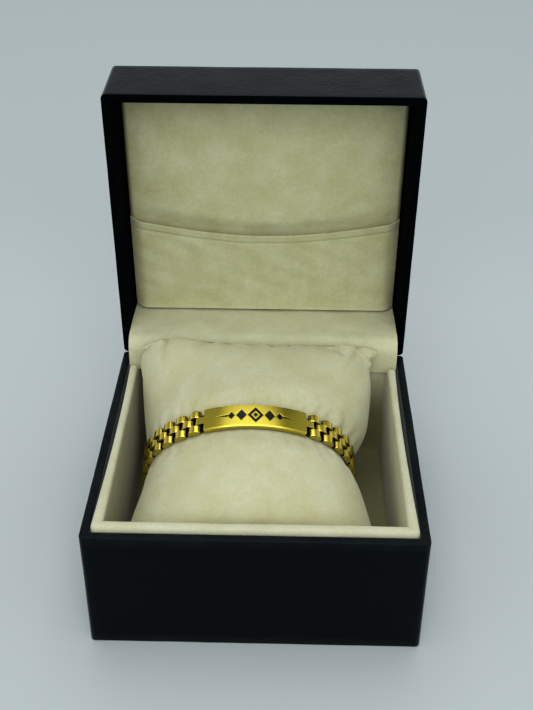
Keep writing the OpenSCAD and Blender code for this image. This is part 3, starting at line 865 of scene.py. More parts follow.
@dataclass
class VelvetLining:
    """Padded collar of the base, the lid's pad, its pocket and the flap over the hinge."""

    box: GiftBox
    collar: float = 3.6 * MM
    collar_bow: float = 1.1 * MM
    collar_corner: float = 1.7 * MM
    collar_rise: float = 1.6 * MM
    collar_floor: float = 1.6 * MM
    collar_swell: float = 0.25 * MM
    collar_slack: float = 0.12 * MM
    roll_power: float = 0.8
    roll_ends: float = 38.6 * MM
    seat_start: float = 41.2 * MM
    bow_start: float = 46 * MM
    bow_length: float = 106 * MM
    shade_left: tuple[float, ...] = (0.5 * MM, 1.8 * MM, 1.0)
    shade_right: tuple[float, ...] = (3.5 * MM, 22.0 * MM, 0.75)
    cloth: float = 1.2 * MM
    soft_gap: float = 0.3 * MM
    pad_edge: float = 3 * MM
    pad_crown: float = 3 * MM
    pad_flat: float = 0.4 * MM
    pad_start: float = 10.2 * MM
    pad_roll: float = 1.6 * MM
    pad_dip: float = 1.5 * MM
    dip_reach: float = 5.5 * MM
    pocket_height: float = 37.6 * MM
    pocket_sag: float = 6 * MM
    pocket_depth: float = 14.8 * MM
    pocket_hollow: float = 1.7 * MM
    pocket_bend: float = 0.1
    hem: float = 3.3 * MM
    hem_groove: float = 0.45 * MM
    lip: float = 0.6 * MM
    nose_radius: float = 4.6 * MM
    flap_swell: float = 0.9 * MM
    flap_drop: float = 2.4 * MM
    flap_wave: float = 0.16 * MM

    # Inset and height above the board of the collar's underside, from its middle outwards
    COLLAR_UNDERSIDE = np.array([[43, 0], [22, 0], [5, 0], [0.4, 0], [0, 0.4]]) * MM
    # Distance from the collar's inner side and height above its floor
    COLLAR_GROUND = np.array([[0.3, 0.3], [1, 0], [20, 0], [39, 0]]) * MM
    # Folds that cut off the pad's upper corners: place, half width, and depth in millimetres
    CORNER_FOLDS = ((1.0, 0.30, 0.45), (2.0, 0.38, 0.30))

    def __post_init__(self) -> None:
        """Works out the sizes that follow from the box."""
        self.inner_width = self.box.outline.width - 2 * self.box.board
        self.inner_depth = self.box.outline.depth - 2 * self.box.board
        self.collar_width = self.inner_width - 2 * self.box.rim_gap
        self.collar_depth = self.inner_depth - 2 * self.box.rim_gap
        self.collar_top = self.box.hinge.line_z + self.collar_rise
        self.pad_top = self.box.lid_height - self.box.board
        self.pad_half = self.inner_width / 2 - self.soft_gap
        self.pad_end = self.box.outline.depth - self.box.board - self.soft_gap

    def collar_piece(self, velvet: Material) -> None:
        """Padded collar: a wall with a soft round top carried round the base's inside.

        The top is half a superellipse, and the inner side swells by half a sine between its top
        and the floor. The inner side is painted darker with depth, as shade, at once on the left.

        Args:
            velvet: Its finish.
        """
        half, board = self.collar / 2, self.box.board
        floor, shoulder = board + self.collar_floor, self.collar_top - half
        turn = np.linspace(0, np.pi, 15)
        cos, sin = np.cos(turn), np.sin(turn)
        roll = np.column_stack([half - half * np.sign(cos) * np.abs(cos) ** self.roll_power,
                                shoulder + half * np.abs(sin) ** self.roll_power])
        low = self.COLLAR_UNDERSIDE + [0, board]
        rise = np.linspace(low[-1, 1], shoulder, 8)[1:-1]
        fall = np.linspace(shoulder, floor + 1 * MM, 12)[1:]
        swell = self.collar_swell * np.sin(np.pi * (fall - floor) / (shoulder - floor))
        profile = np.concatenate([
            low, np.column_stack([0 * rise, rise]), roll,
            np.column_stack([self.collar + swell, fall]),
            self.COLLAR_GROUND + [self.collar, floor]])
        outline = BoxOutline(self.collar_width, self.collar_depth, self.collar_corner,
                             spacing=1.0 * MM)
        columns = outline.columns()
        shape = (len(profile), len(columns))
        inset = np.broadcast_to(profile[:, :1], shape)
        height = np.broadcast_to(profile[:, 1:], shape)
        grid = outline.carry(columns, inset, height)
        soft = smooth_step(height, self.collar_top - 6 * MM, self.collar_top)
        soft = soft * (inset < self.collar + MM)
        grid[..., 2] -= self.collar_slack * soft * (1 + soft_ripples(grid, 13 * MM, 21)) / 2
        self.bow_sides(grid, inset)
        self.seat_flap(grid, inset)
        piece = Skin.tube(grid).piece("velvet_collar")
        # Painted shade on the inner side, growing with depth and starting sooner on the left
        inward = (inset > 0.9 * self.collar) | (height < floor + MM)
        on_left = grid[..., 0] < -self.collar_width / 2 + 2 * self.collar
        start, reach, most = (np.where(on_left, left, right)
                              for left, right in zip(self.shade_left, self.shade_right))
        crease = smooth_step((self.collar_top - height - start) / reach, 0, 1) * inward * most
        paint_values(piece, "crease", with_ends(crease))
        dress(piece, velvet, Slot.LINING, "base_collar", "root")

    def bow_sides(self, grid: np.ndarray, inset: np.ndarray) -> None:
        """Draws the outer faces of the side walls in by half a sine along their length.

        Args:
            grid: Points of the collar, changed in place.
            inset: Distance of each point in from the collar's outline.
        """
        on_side = self.collar_width / 2 - np.abs(grid[..., 0]) < self.collar + 0.5 * MM
        along = np.clip((grid[..., 1] + self.bow_start) / self.bow_length, 0, 1)
        bow = self.collar_bow * np.sin(np.pi * along) * np.clip(1 - inset / self.collar, 0, 1)
        grid[..., 0] -= np.sign(grid[..., 0]) * bow * on_side * (grid[..., 2] > self.box.board)

    def seat_flap(self, grid: np.ndarray, inset: np.ndarray) -> None:
        """Ends the side rolls under the flap: their tops fall as a quarter of an ellipse.

        Args:
            grid: Points of the collar, changed in place.
            inset: Distance of each point in from the collar's outline.
        """
        y, z = grid[..., 1], grid[..., 2]
        seat_z = self.box.hinge.line_z - self.flap_drop - self.soft_gap
        back = self.collar_depth / 2 - self.collar
        near = np.clip((y - self.roll_ends) / (self.seat_start - self.roll_ends), 0, 1)
        fall = (1 - np.sqrt(1 - near**2)) * (1 - smooth_step(y, back - 0.5 * MM, back + 0.6 * MM))
        upper = np.clip((z - seat_z + 5 * MM) / (self.collar_top - seat_z + 5 * MM), 0, 1)
        on_side = inset < self.collar + MM
        grid[..., 2] -= (self.collar_top - seat_z) * fall * upper * on_side

    def crown(self, u: np.ndarray, v: np.ndarray) -> np.ndarray:
        """Share from 0 at the pad's edges to 1 at its middle: roots of sines across and along."""
        across = np.sqrt(np.clip(np.sin(np.pi * u), 0, 1))
        return across * np.sqrt(np.clip(np.sin(np.pi * v), 0, 1))

    def lid_slab(self, x: np.ndarray, y: np.ndarray, near: np.ndarray,
                 far: np.ndarray | float) -> Skin:
        """Slab between two depths in the closed lid, turned to the open lid's place.

        Args:
            x: Place across the lid.
            y: Place from the hinge, below 0 towards the front.
            near: Depth of the face that shows.
            far: Depth of the face behind it.

        Returns:
            The closed skin.
        """
        faces = (np.stack(np.broadcast_arrays(x, y, depth), -1) for depth in (near, far))
        return Skin.slab(*(self.box.hinge.on_lid(face) for face in faces))

    def pad_piece(self, velvet: Material) -> None:
        """Crowned pad in the lid's top, with its edges rolled in and soft bumps.

        It dips behind the pocket. Two soft folds cut off each upper corner: valleys along
        straight lines, as bell curves.

        Args:
            velvet: Its finish.
        """
        ease = (1 - np.cos(np.pi * np.linspace(0, 1, 91))) / 2
        share = 0.5 * ease + 0.5 * np.linspace(0, 1, 91)
        u, v = np.meshgrid(share, share, indexing="ij")
        x = (2 * u - 1) * self.pad_half
        y = -self.pad_start - v * (self.pad_end - self.pad_start)
        flat = np.stack([x, y, 0 * x], -1)
        edge = np.minimum(np.minimum(u, 1 - u), np.minimum(v, 1 - v)) * 2 * self.pad_half
        tuck = round_off(edge, self.pad_roll)
        bumps = 0.22 * MM * soft_ripples(flat, 17 * MM, 31)
        bumps += 0.10 * MM * soft_ripples(flat, 7 * MM, 32)
        lift = (self.pad_crown - self.pad_flat) * self.crown(u, v)
        lift += bumps * smooth_step(edge, 0, 6 * MM)
        above = -y - self.pad_start - self.pocket_top(u)
        dip = self.pad_dip * (1 - smooth_step(above, 0, self.dip_reach)) * np.sin(np.pi * u) ** 0.3
        dip = dip * smooth_step(-y - self.pad_start, 6 * MM, 14 * MM)
        corner = (self.pad_half - np.abs(x)) / (16 * MM) + (self.pad_end + y) / (9 * MM)
        fold = sum(depth * MM * bell(corner - place, width)
                   for place, width, depth in self.CORNER_FOLDS)
        dip = dip + fold * smooth_step(edge, 0, 3 * MM)
        face = self.pad_top - self.pad_edge - lift + tuck + dip
        piece = self.lid_slab(x, y, face, self.pad_top).piece("lid_padding", 60.0)
        # Painted shade along the pad's rolled-in edges
        crease = smooth_step(-edge, -2.0 * MM, 0)
        paint_values(piece, "crease", np.tile(crease.ravel(), 2))
        dress(piece, velvet, Slot.LINING, "lid_pad", "lid")

    def pocket_top(self, u: np.ndarray) -> np.ndarray:
        """Height of the pocket's edge above the pad's foot: it sags as half a sine across."""
        return self.pocket_height - self.pocket_sag * np.sin(np.pi * u)

    def pocket_piece(self, velvet: Material) -> None:
        """Pocket in the lid: a sheet held at its foot and sides, with a hem along its top.

        Its top edge sags as a sine, its sides curve back to the pad, and its hem is a thicker
        band above a shallow stitched groove. Its middle lies back towards the pad as a sine to
        the power 0.4, so that the cushion has room under it when the lid is closed.

        Args:
            velvet: Its finish.
        """
        even = np.linspace(0, 1, 141)
        share = 0.7 * (1 - np.cos(np.pi * even)) / 2 + 0.3 * even
        u, v = np.meshgrid(share, np.linspace(0, 1, 91), indexing="ij")
        half = self.pad_half - self.soft_gap
        side_depth = self.pad_top - self.pad_edge - self.cloth - self.soft_gap
        height = self.pocket_top(u)
        x = (2 * u - 1) * half
        y = -self.pad_start - v * height
        bend = np.clip(1 - (1 - np.abs(2 * u - 1)) / self.pocket_bend, 0, 1) ** 2
        depth = self.pocket_depth + (side_depth - self.pocket_depth) * bend
        flat = np.stack([x, y, 0 * x], -1)
        from_top = (1 - v) * height
        band = smooth_step(-from_top, -self.hem, -self.hem + 0.5 * MM)
        groove = bell(from_top - self.hem, self.hem_groove)
        folds = 0.28 * MM * soft_ripples(flat * [1, 0.6, 1], 19 * MM, 41)
        folds += 0.12 * MM * soft_ripples(flat, 7 * MM, 42)
        calm = smooth_step(v, 0, 0.15) * (1 - 0.8 * smooth_step(v, 0.8, 0.95)) * (1 - bend)
        hollow = self.pocket_hollow * np.sin(np.pi * v) ** 0.4 * (1 - bend)
        face = depth + folds * calm + hollow + 0.22 * MM * groove - 0.15 * MM * band
        thick = self.cloth * (0.86 + 0.14 * band)
        tuck = round_off(from_top, self.lip)
        skin = self.lid_slab(x, y, face + tuck, face + thick - tuck * 0.8)
        piece = skin.piece("pocket_velvet", 70.0)
        # Painted shade in the groove below the hem
        crease = np.concatenate([groove.ravel() * 0.25, 0 * groove.ravel()])
        paint_values(piece, "crease", crease)
        dress(piece, velvet, Slot.LINING, "lid_pocket", "lid")

    def flap_path(self) -> np.ndarray:
        """Middle line of the flap from the pad's foot over the collar and down inside it.

        Returns:
            Rows of Y, Z and the angle of the outer side.
        """
        hinge = self.box.hinge
        front = self.collar_depth / 2 - self.collar - self.soft_gap - self.cloth / 2
        top = hinge.line_z + self.pad_start - self.soft_gap - self.cloth / 2
        back = self.box.outline.depth / 2 + self.pad_top - 2 * self.soft_gap
        nose_top = top + self.flap_swell
        nose = self.nose_radius
        y = np.linspace(back, front + nose, 26)[:-1]
        rise = (nose_top - top) * smooth_step((y - back) / (front + nose - back), 0, 1)
        flat = np.column_stack([y, top + rise, 0 * y + np.pi / 2])
        turn = np.pi / 2 + quarter(16)
        bend = np.column_stack([front + nose + nose * np.cos(turn),
                                nose_top - nose + nose * np.sin(turn), turn])
        z = np.linspace(nose_top - nose, hinge.line_z - self.flap_drop, 14)[1:]
        fall = np.column_stack([0 * z + front, z, 0 * z + np.pi])
        return np.concatenate([flat, bend, fall])

    def flap_piece(self, velvet: Material) -> None:
        """Flap of loose velvet that joins the lid's pad to the base and hides the hinge.

        Args:
            velvet: Its finish.
        """
        path = self.flap_path()
        share = np.linspace(-1, 1, 101)
        wide = self.inner_width / 2 - 1.2 * self.soft_gap
        y, z, turn = (path[:, k][:, None] for k in range(3))
        x = share[None] * wide
        flat = np.stack(np.broadcast_arrays(x, y, z), -1)
        waves = self.flap_wave * soft_ripples(flat, 15 * MM, 51)
        waves += 0.06 * MM * soft_ripples(flat, 5 * MM, 52)
        waves *= 0.35 + 0.65 * smooth_step(z, self.collar_top, self.collar_top + 4 * MM)
        faces = []
        for side in (-1, 1):
            out = side * self.cloth / 2 + waves - self.flap_wave
            face = np.broadcast_arrays(x, y + out * np.cos(turn), z + out * np.sin(turn))
            faces.append(np.stack(face, -1))
        piece = Skin.slab(*faces).piece("hinge_flap_velvet", 70.0)
        paint_values(piece, "crease", np.zeros(len(piece.data.vertices)))
        dress(piece, velvet, Slot.LINING, "hinge_flap", None)
        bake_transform(piece)

    def build(self, collar: Material, lid: Material,
              flap: Material) -> None:
        """Makes the collar, the pad, the pocket and the flap.

        Args:
            collar: Velvet of the collar.
            lid: Velvet of the pad and the pocket.
            flap: Velvet of the flap, a lighter copy that paints in more light.
        """
        self.collar_piece(collar)
        self.pad_piece(lid)
        self.pocket_piece(lid)
        self.flap_piece(flap)


# The bracelet and its cushion


@dataclass(frozen=True)
class Loop:
    """Closed line of the bracelet's pins: four arcs a side, drawn from the top of the loop."""

    width: float = 71.6 * MM
    top_radius: float = 44 * MM
    top_turn: float = np.radians(34)
    low_radius: float = 13 * MM
    low_turn: float = np.radians(165)
    tilt: float = np.radians(13)
    lean: float = np.radians(1)
    yaw: float = np.radians(1.4)
    place: Point = (-4 * MM, -3.908 * MM, 55.507 * MM)

    @property
    def top_reach(self) -> float:
        """Distance out to the side at the end of the top arc."""
        return self.top_radius * np.sin(self.top_turn)

    @property
    def side_radius(self) -> float:
        """Radius of the arc that ends at the loop's widest place."""
        return (self.width / 2 - self.top_reach) / (1 - np.sin(self.top_turn))

    @property
    def floor_radius(self) -> float:
        """Radius of the flat arc along the bottom."""
        reach = self.width / 2 - self.low_radius * (1 - np.sin(self.low_turn))
        return reach / np.sin(self.low_turn)

    @property
    def arcs(self) -> np.ndarray:
        """Lengths along one side to the ends of the four arcs."""
        turns = np.array([self.top_turn, np.pi / 2 - self.top_turn, self.low_turn - np.pi / 2,
                          np.pi - self.low_turn])
        radii = np.array([self.top_radius, self.side_radius, self.low_radius, self.floor_radius])
        return np.cumsum(turns * radii)

    def turn_at(self, length: np.ndarray) -> np.ndarray:
        """Turn made at a length along one side: each arc turns by its length over its radius."""
        ends = np.concatenate([[0], self.arcs])
        turns = np.array([0, self.top_turn, np.pi / 2, self.low_turn, np.pi])
        return np.interp(length, ends, turns)

    def drop(self, turn: np.ndarray) -> np.ndarray:
        """Drop below the top at a turn: the sum of the drops along the arcs."""
        top = self.top_radius * (1 - np.cos(np.minimum(turn, self.top_turn)))
        side = np.clip(turn, self.top_turn, np.pi / 2)
        low = np.clip(turn, np.pi / 2, self.low_turn)
        floor = np.maximum(turn, self.low_turn)
        return (top + self.side_radius * (np.cos(self.top_turn) - np.cos(side))
                - self.low_radius * np.cos(low)
                + self.floor_radius * (np.cos(self.low_turn) - np.cos(floor)))

    def reach(self, turn: np.ndarray) -> np.ndarray:
        """Distance out to the side at a turn, arc by arc."""
        half = self.width / 2
        side = self.top_reach + self.side_radius * (np.sin(turn) - np.sin(self.top_turn))
        low = half - self.low_radius * (1 - np.sin(turn))
        top, floor = self.top_radius * np.sin(turn), self.floor_radius * np.sin(turn)
        return np.select([turn < self.top_turn, turn < np.pi / 2, turn < self.low_turn],
                         [top, side, low], floor)

    def point(self, length: np.ndarray, out: np.ndarray | float = 0.0) -> np.ndarray:
        """Points X and Z of the loop at signed lengths from its top, moved outwards.

        Args:
            length: Signed length, below 0 on the left.
            out: Distance outwards from the line of pins.

        Returns:
            X and Z, in the last axis.
        """
        whole = 2 * self.arcs[-1]
        wrapped = (length + whole / 2) % whole - whole / 2
        turn = self.turn_at(np.abs(wrapped))
        x = np.sign(wrapped) * (self.reach(turn) + out * np.sin(turn))
        return np.stack(np.broadcast_arrays(x, out * np.cos(turn) - self.drop(turn)), -1)

    def settle(self, points: np.ndarray) -> np.ndarray:
        """Moves points drawn from the top of the loop, upright, to the bracelet's place.

        Args:
            points: Points with X, Y and Z last.

        Returns:
            The points leant, tilted and turned, in the frame.
        """
        turn = (Matrix.Rotation(self.yaw, 3, "Z") @ Matrix.Rotation(-self.lean, 3, "Y")
                @ Matrix.Rotation(self.tilt, 3, "X"))
        return points @ np.array(turn).T + np.array(self.place)


@dataclass
class Cushion:
    """Velvet cushion inside the loop, stuffed full, with a seam and two ears at each end."""

    loop: Loop
    lining: VelvetLining
    front: float = 46 * MM
    back: float = 41 * MM
    below_pins: float = 1.25 * MM
    rows: int = 76
    sides: int = 84
    ring_crowding: float = 1.35
    pressure: float = 4.0
    frames: int = 20
    cloth_scale: float = 12.0
    cap: float = 1.6 * MM
    ear_place: float = 0.72
    ear_out: tuple[float, float] = (1.6 * MM, -0.6 * MM)
    waist_place: float = 0.86
    waist_width: float = 0.10
    waist_in: tuple[float, float] = (1.2 * MM, 0.3 * MM)
    fold_depth: float = 1.1 * MM
    gather_place: float = 5.4 * MM
    gather_fade: float = 7 * MM
    gather_height: float = 0.30 * MM
    gather_radius: float = 40 * MM
    band_shadow_half: float = 4.3 * MM

    CLOTH = {"quality": 6, "mass": 0.15, "tension_stiffness": 12.0, "compression_stiffness": 12.0,
             "shear_stiffness": 4.0, "bending_stiffness": 0.08, "shrink_min": -0.05,
             "use_pressure": True}
    # Places across the back seam, and how far each is bent up, in millimetres
    EAR_TILT = np.array([[-1.0, 2.2], [-0.8, 5.4], [-0.45, 2.9], [0.0, 0.8], [0.5, 0.1],
                         [0.85, 0.5], [1.0, -1.5]])
    # Folds: start and end as X and Y in millimetres, half width in millimetres, depth share
    FOLDS = ((40, 41, 33, 26, 0.9, 0.6), (30.5, 41, 34.5, 31, 0.8, 0.35),
             (-29, 41, -30.5, 30, 0.9, 0.6), (-22, 41, -24, 35, 0.7, 0.25),
             (8, 41, 7, 36, 0.6, 0.25), (-6, 41, -6, 37, 0.6, 0.2))
    # Place along the axis as a share of the front or back length, added half width and shift as
    # shares of the room beside the loop, then rise, top and bottom as shares of the loop's
    # height above and below its widest level
    SECTIONS = np.array([
        [-1.00, 0.10, 0.02, 0.00, 0.030, 0.05],
        [-0.975, 0.36, 0.02, 0.00, 0.340, 0.22],
        [-0.92, 0.52, 0.02, 0.00, 0.660, 0.50],
        [-0.83, 0.58, 0.03, 0.00, 0.850, 0.84],
        [-0.70, 0.56, 0.05, 0.00, 0.930, 1.07],
        [-0.50, 0.38, 0.07, 0.00, 0.985, 1.21],
        [-0.30, 0.15, 0.09, 0.00, 1.015, 1.20],
        [-0.165, 0.02, 0.04, 0.00, 1.015, 1.05],
        [-0.12, 0.00, 0.00, 0.00, 1.000, 1.00],
        [0.135, 0.00, 0.00, 0.00, 1.000, 1.00],
        [0.185, 0.07, 0.07, 0.00, 1.015, 1.03],
        [0.35, 0.35, 0.22, 0.02, 0.985, 1.02],
        [0.55, 0.525, 0.255, 0.10, 0.850, 0.93],
        [0.75, 0.645, 0.275, 0.27, 0.610, 0.84],
        [0.90, 0.75, 0.29, 0.43, 0.360, 0.62],
        [0.97, 0.77, 0.31, 0.55, 0.180, 0.32],
        [1.00, 0.77, 0.31, 0.62, 0.030, 0.05]])

    def places(self, rows: int) -> np.ndarray:
        """Place of each ring along the axis, from -1 at the front seam to 1 at the back seam."""
        even = np.linspace(-1, 1, rows)
        return np.sign(even) * (1 - (1 - np.abs(even)) ** self.ring_crowding)

    def surface(self, rows: int, sides: int) -> np.ndarray:
        """Rings of points along the cushion, from its front seam to its back seam.

        A ring is the loop drawn inwards, widened, shifted, lifted and flattened by the table of
        sections, which a cubic curve joins.

        Args:
            rows: Number of rings.
            sides: Points in each ring.

        Returns:
            Points shaped rows by sides by 3, drawn from the top of the loop.
        """
        table = self.SECTIONS
        place = self.places(rows)
        row = [curve_through(place, table[:, 0], table[:, k])[:, None] for k in range(1, 6)]
        wider, shift, rise, top, bottom = row
        whole = 2 * self.loop.arcs[-1]
        ring = self.loop.point(whole * np.arange(sides) / sides, -self.below_pins)
        half = self.loop.width / 2
        room = self.lining.collar_width / 2 - self.lining.collar - half
        widest = self.loop.drop(np.array(np.pi / 2))
        above = ring[None, :, 1] + widest
        x = shift * room + ring[None, :, 0] * (1 + wider * room / half)
        z = (rise - 1) * widest + above * np.where(above > 0, top, bottom)
        y = np.where(place < 0, place * self.front, place * self.back)[:, None]
        return np.stack(np.broadcast_arrays(x, y, z), -1)

    def stuffed(self, grid: np.ndarray) -> np.ndarray:
        """Lets the cover settle as cloth with pressure inside, held at its seams and the band.

        The cloth is larger than its place, so it gathers where it is held. It is simulated
        enlarged, and no point moves further than the cap.

        Args:
            grid: Rings of points of the cover.

        Returns:
            How far each point moved.
        """
        rows, sides, _ = grid.shape
        cover = Skin.tube(grid * self.cloth_scale).piece("cushion_cloth")
        place = self.places(rows)
        held = np.maximum(smooth_step(-np.abs(place - 0.0075), -0.20, -0.13),
                          smooth_step(np.abs(place), 0.96, 0.985))
        group = cover.vertex_groups.new(name="held")
        for row in np.flatnonzero(held > 0):
            ring = np.arange(row * sides, (row + 1) * sides).tolist()
            group.add(ring, float(held[row]), "REPLACE")
        group.add([rows * sides, rows * sides + 1], 1.0, "REPLACE")
        cloth = cover.modifiers.new("cloth", "CLOTH")
        for key, value in self.CLOTH.items():
            setattr(cloth.settings, key, value)
        cloth.settings.uniform_pressure_force = self.pressure
        cloth.settings.vertex_group_mass = group.name
        cloth.settings.effector_weights.gravity = 0.0
        cloth.point_cache.frame_start, cloth.point_cache.frame_end = 1, self.frames
        for number in range(1, self.frames + 1):
            bpy.context.scene.frame_set(number)
        settled = cover.evaluated_get(bpy.context.evaluated_depsgraph_get()).to_mesh()
        points = np.empty(len(settled.vertices) * 3)
        settled.vertices.foreach_get("co", points)
        bpy.data.objects.remove(cover)
        bpy.context.scene.frame_set(1)
        moved = points.reshape(-1, 3)[:-2].reshape(rows, sides, 3) / self.cloth_scale - grid
        far = np.linalg.norm(moved, axis=-1, keepdims=True)
        log.info("cushion cloth moved by up to %.2f mm, on average %.2f mm",
                 far.max() / MM, far.mean() / MM)
        return moved * np.tanh(far / self.cap) * self.cap / np.maximum(far, 1e-9)

    @staticmethod
    def finer(grid: np.ndarray) -> np.ndarray:
        """Doubles a grid of rings both ways, each new point from its four nearest by a cubic."""
        before, after, next_but_one = (np.roll(grid, k, 1) for k in (1, -1, -2))
        ring = (9 * (grid + after) - before - next_but_one) / 16
        rows, sides, _ = grid.shape
        wide = np.stack([grid, ring], 2).reshape(rows, 2 * sides, 3)
        padded = np.concatenate([2 * wide[:1] - wide[1:2], wide, 2 * wide[-1:] - wide[-2:-1]])
        between = (9 * (padded[1:-2] + padded[2:-1]) - padded[:-3] - padded[3:]) / 16
        fine = np.empty((2 * rows - 1, 2 * sides, 3))
        fine[::2], fine[1::2] = wide, between
        return fine

    def lift_ears(self, grid: np.ndarray) -> None:
        """Bends the back seam up and down along its width, and draws its ears out.

        Args:
            grid: Rings of points, changed in place.
        """
        place = self.places(len(grid))[:, None]
        last = grid[-1, :, 0]
        middle, reach = (last.max() + last.min()) / 2, (last.max() - last.min()) / 2
        across = np.clip((grid[..., 0] - middle) / reach, -1.1, 1.1)
        bend = curve_through(across, self.EAR_TILT[:, 0], self.EAR_TILT[:, 1] * MM)
        grid[..., 2] += bend * smooth_step(place, 0.45, 1.0)
        ears = smooth_step(np.abs(across), self.ear_place, 1.0)
        tip = smooth_step(place, self.waist_place, 1.0)
        grid[..., 0] += np.sign(across) * ears * tip * np.where(across > 0, *self.ear_out)
        waist = bell(place - self.waist_place, self.waist_width) * ears
        grid[..., 0] -= np.sign(across) * waist * np.where(across > 0, *self.waist_in)

    def creases(self, grid: np.ndarray, normal: np.ndarray) -> np.ndarray:
        """Presses folds in at the ears and soft gathers beside the band.

        A fold is a valley along a line: its depth falls as a bell curve with the distance from
        the line. The gathers are ripples across the loop that fade away from the band.

        Args:
            grid: Rings of points, changed in place.
            normal: Outward direction of each point.

        Returns:
            Depth of the folds at each point, from 0 to 1.
        """
        x, y, z = np.moveaxis(grid, -1, 0)
        upper = normal[..., 2] > -0.2
        deep = np.zeros(x.shape)
        for x0, y0, x1, y1, width, strength in self.FOLDS:
            run = np.array([x1 - x0, y1 - y0]) * MM
            right, back = x - x0 * MM, y - y0 * MM
            share = np.clip((right * run[0] + back * run[1]) / (run @ run), 0, 1)
            away = np.hypot(right - share * run[0], back - share * run[1])
            valley = bell(away, width * MM) * strength * (1 - share) ** 0.7
            deep = np.maximum(deep, valley * upper)
        band = np.minimum(np.abs(y - self.gather_place), np.abs(y + self.gather_place))
        beside = np.exp(-band / self.gather_fade) * smooth_step(np.abs(y), 4.6 * MM, 6.5 * MM)
        length = np.arctan2(x, z + self.gather_radius) * self.gather_radius
        ripple = soft_ripples(np.stack([length, 0.15 * y, 0 * z], -1), 6 * MM, 71)
        push = self.gather_height * ripple * beside - self.fold_depth * deep
        grid += normal * push[..., None]
        return deep

    def build(self, velvet: Material) -> None:
        """Makes the cushion.

        Args:
            velvet: Its finish.
        """
        coarse = self.surface(self.rows, self.sides)
        grid = self.finer(coarse + self.stuffed(coarse))
        self.lift_ears(grid)
        along = np.gradient(grid, axis=0)
        around = np.roll(grid, -1, 1) - np.roll(grid, 1, 1)
        normal = np.cross(around, along)
        normal /= np.maximum(np.linalg.norm(normal, axis=-1, keepdims=True), 1e-12)
        if (normal * (grid - grid.mean((0, 1)))).sum() < 0:
            normal = -normal
        deep = self.creases(grid, normal)
        piece = Skin.tube(self.loop.settle(grid)).piece("velvet_cushion")
        # Painted shade in the folds, at both seams and on the low front
        dark = 0.7
        seam = np.zeros(deep.shape)
        seam[-2:], seam[:2] = dark, dark
        shaded = 0.4 * smooth_step(-grid[..., 1], 30 * MM, 44 * MM)
        # Painted shadow on the strip of the cushion under the band
        pressed = smooth_step(-np.abs(grid[..., 1]), -self.band_shadow_half, -3.7 * MM)
        paint_values(piece, "pressed", with_ends(pressed))
        paint_values(piece, "crease", with_ends(np.maximum(deep * dark, seam + shaded), dark))
        dress(piece, velvet, Slot.CUSHION, "cushion", "root")


